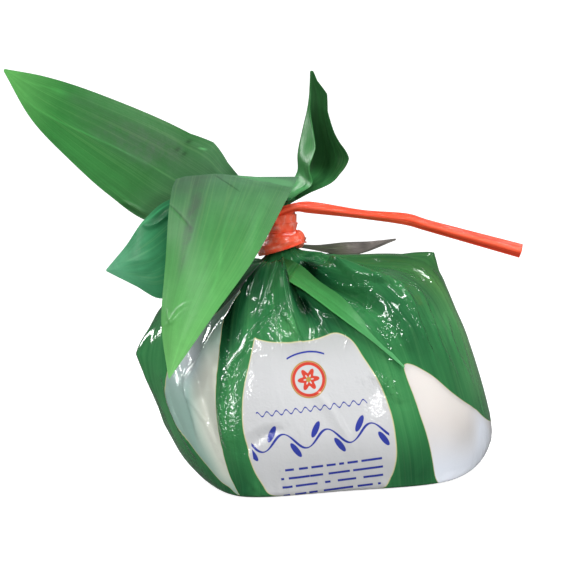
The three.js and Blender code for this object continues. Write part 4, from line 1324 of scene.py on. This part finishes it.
lights = {
    "lampMiddle": {"at": (0.1, -0.3, 1.25), "size": (0.2, 0.2), "watts": 4.6, "isFill": True},
    "lampLeft": {"at": (-0.7, -0.75, 0.95), "size": (0.18, 0.18), "watts": 4.4, "isFill": True},
    "lampRight": {"at": (0.8, -0.8, 0.6), "size": (0.18, 0.18), "watts": 4.4, "isFill": True},
    "smallLeft": {"at": (-0.52, -0.69, 0.86), "size": (0.06, 0.06), "watts": 1.2},
    "smallRight": {"at": (0.4, -0.65, 0.95), "size": (0.06, 0.06), "watts": 1.2},
    "smallHigh": {"at": (0.45, -0.2, 1.05), "size": (0.06, 0.06), "watts": 1.2},
    "stripLeft": {"at": (-0.8, -0.48, 0.62), "size": (0.035, 1.1), "watts": 8.0, "isSpark": True},
    "stripBack": {"at": (-0.85, 0.33, 0.7), "size": (0.14, 0.8), "watts": 14.0, "isSpark": True},
    "sparkHigh": {"at": (0.42, -0.34, 1.08), "size": (0.2, 0.2), "watts": 3.0, "isSpark": True},
    "sparkBack": {"at": (0.62, 0.5, 0.88), "size": (0.05, 0.05), "watts": 0.8, "isSpark": True},
    "sparkFront": {"at": (0.2, -1.13, 0.3), "size": (0.05, 0.05), "watts": 0.8, "isSpark": True},
    "sparkLeft": {"at": (-0.75, -0.8, 0.5), "size": (0.05, 0.05), "watts": 0.8, "isSpark": True},
    "sparkMiddle": {"at": (-0.1, -0.4, 1.15), "size": (0.05, 0.05), "watts": 0.8, "isSpark": True},
    "sparkRight": {"at": (0.8, -0.45, 0.77), "size": (0.05, 0.05), "watts": 0.8, "isSpark": True},
    "lampFront": {"at": (-0.15, -1.35, 0.75), "size": (0.9, 0.6), "watts": 5.6, "isFill": True},
    "lampLow": {"at": (-0.75, -0.9, 0.15), "size": (0.5, 0.25), "watts": 0.6, "isFill": True},
    "lampBehind": {"at": (-0.2, 0.8, 1.2), "size": (0.5, 0.3), "watts": 4.0, "isFill": True},
}


def makeLights():
    for name, light in lights.items():
        data = bpy.data.lights.new(name, "AREA")
        data.shape = "RECTANGLE"
        data.size, data.size_y = light["size"]
        data.energy = light["watts"]
        lamp = bpy.data.objects.new(name, data)
        lamp.location = light["at"]
        lamp.rotation_euler = (Vector((-0.01, 0, 0.06)) - lamp.location).to_track_quat("-Z", "Y").to_euler()
        lamp.visible_glossy = not light.get("isFill", False)  # a fill light leaves no glint
        lamp.visible_diffuse = not light.get("isSpark", False)  # a spark leaves only a glint
        bpy.context.scene.collection.objects.link(lamp)
    world = bpy.data.worlds.new("paleRoom")
    world.use_nodes = True
    mirrored = addNode(world.node_tree, "ShaderNodeLightPath").outputs["Is Glossy Ray"]
    strength = minus(0.3, times(mirrored, 0.15))  # the room looks darker in the gloss
    plug(world.node_tree.nodes["Background"], {"Color": (1, 1, 1, 1), "Strength": strength})
    bpy.context.scene.world = world


view = {
    "target": (-0.012, 0.0, 0.0665),
    "distance": 0.52,
    "lookDown": 6.0,  # degrees
    "roll": 4.4,
    "halfWidth": 0.107272,  # metres shown to each side of the target
}


def makeCamera():
    data = bpy.data.cameras.new("camera")
    data.sensor_width = 36
    data.lens = data.sensor_width / 2 * view["distance"] / view["halfWidth"]
    camera = bpy.data.objects.new("camera", data)
    down, roll = math.radians(view["lookDown"]), math.radians(view["roll"])
    forward = Vector((0, math.cos(down), -math.sin(down)))
    level = Vector((1, 0, 0))
    upright = level.cross(forward)
    right = level * math.cos(roll) - upright * math.sin(roll)
    up = level * math.sin(roll) + upright * math.cos(roll)
    place = Vector(view["target"]) - forward * view["distance"]
    camera.matrix_world = Matrix((right, up, -forward)).transposed().to_4x4()
    camera.location = place
    data.clip_start, data.clip_end = 0.01, 20
    bpy.context.scene.collection.objects.link(camera)
    bpy.context.scene.camera = camera


makeStage()
makeLights()
makeCamera()
bpy.context.scene.view_settings.view_transform = "Standard"
print("floor, lights and camera placed")
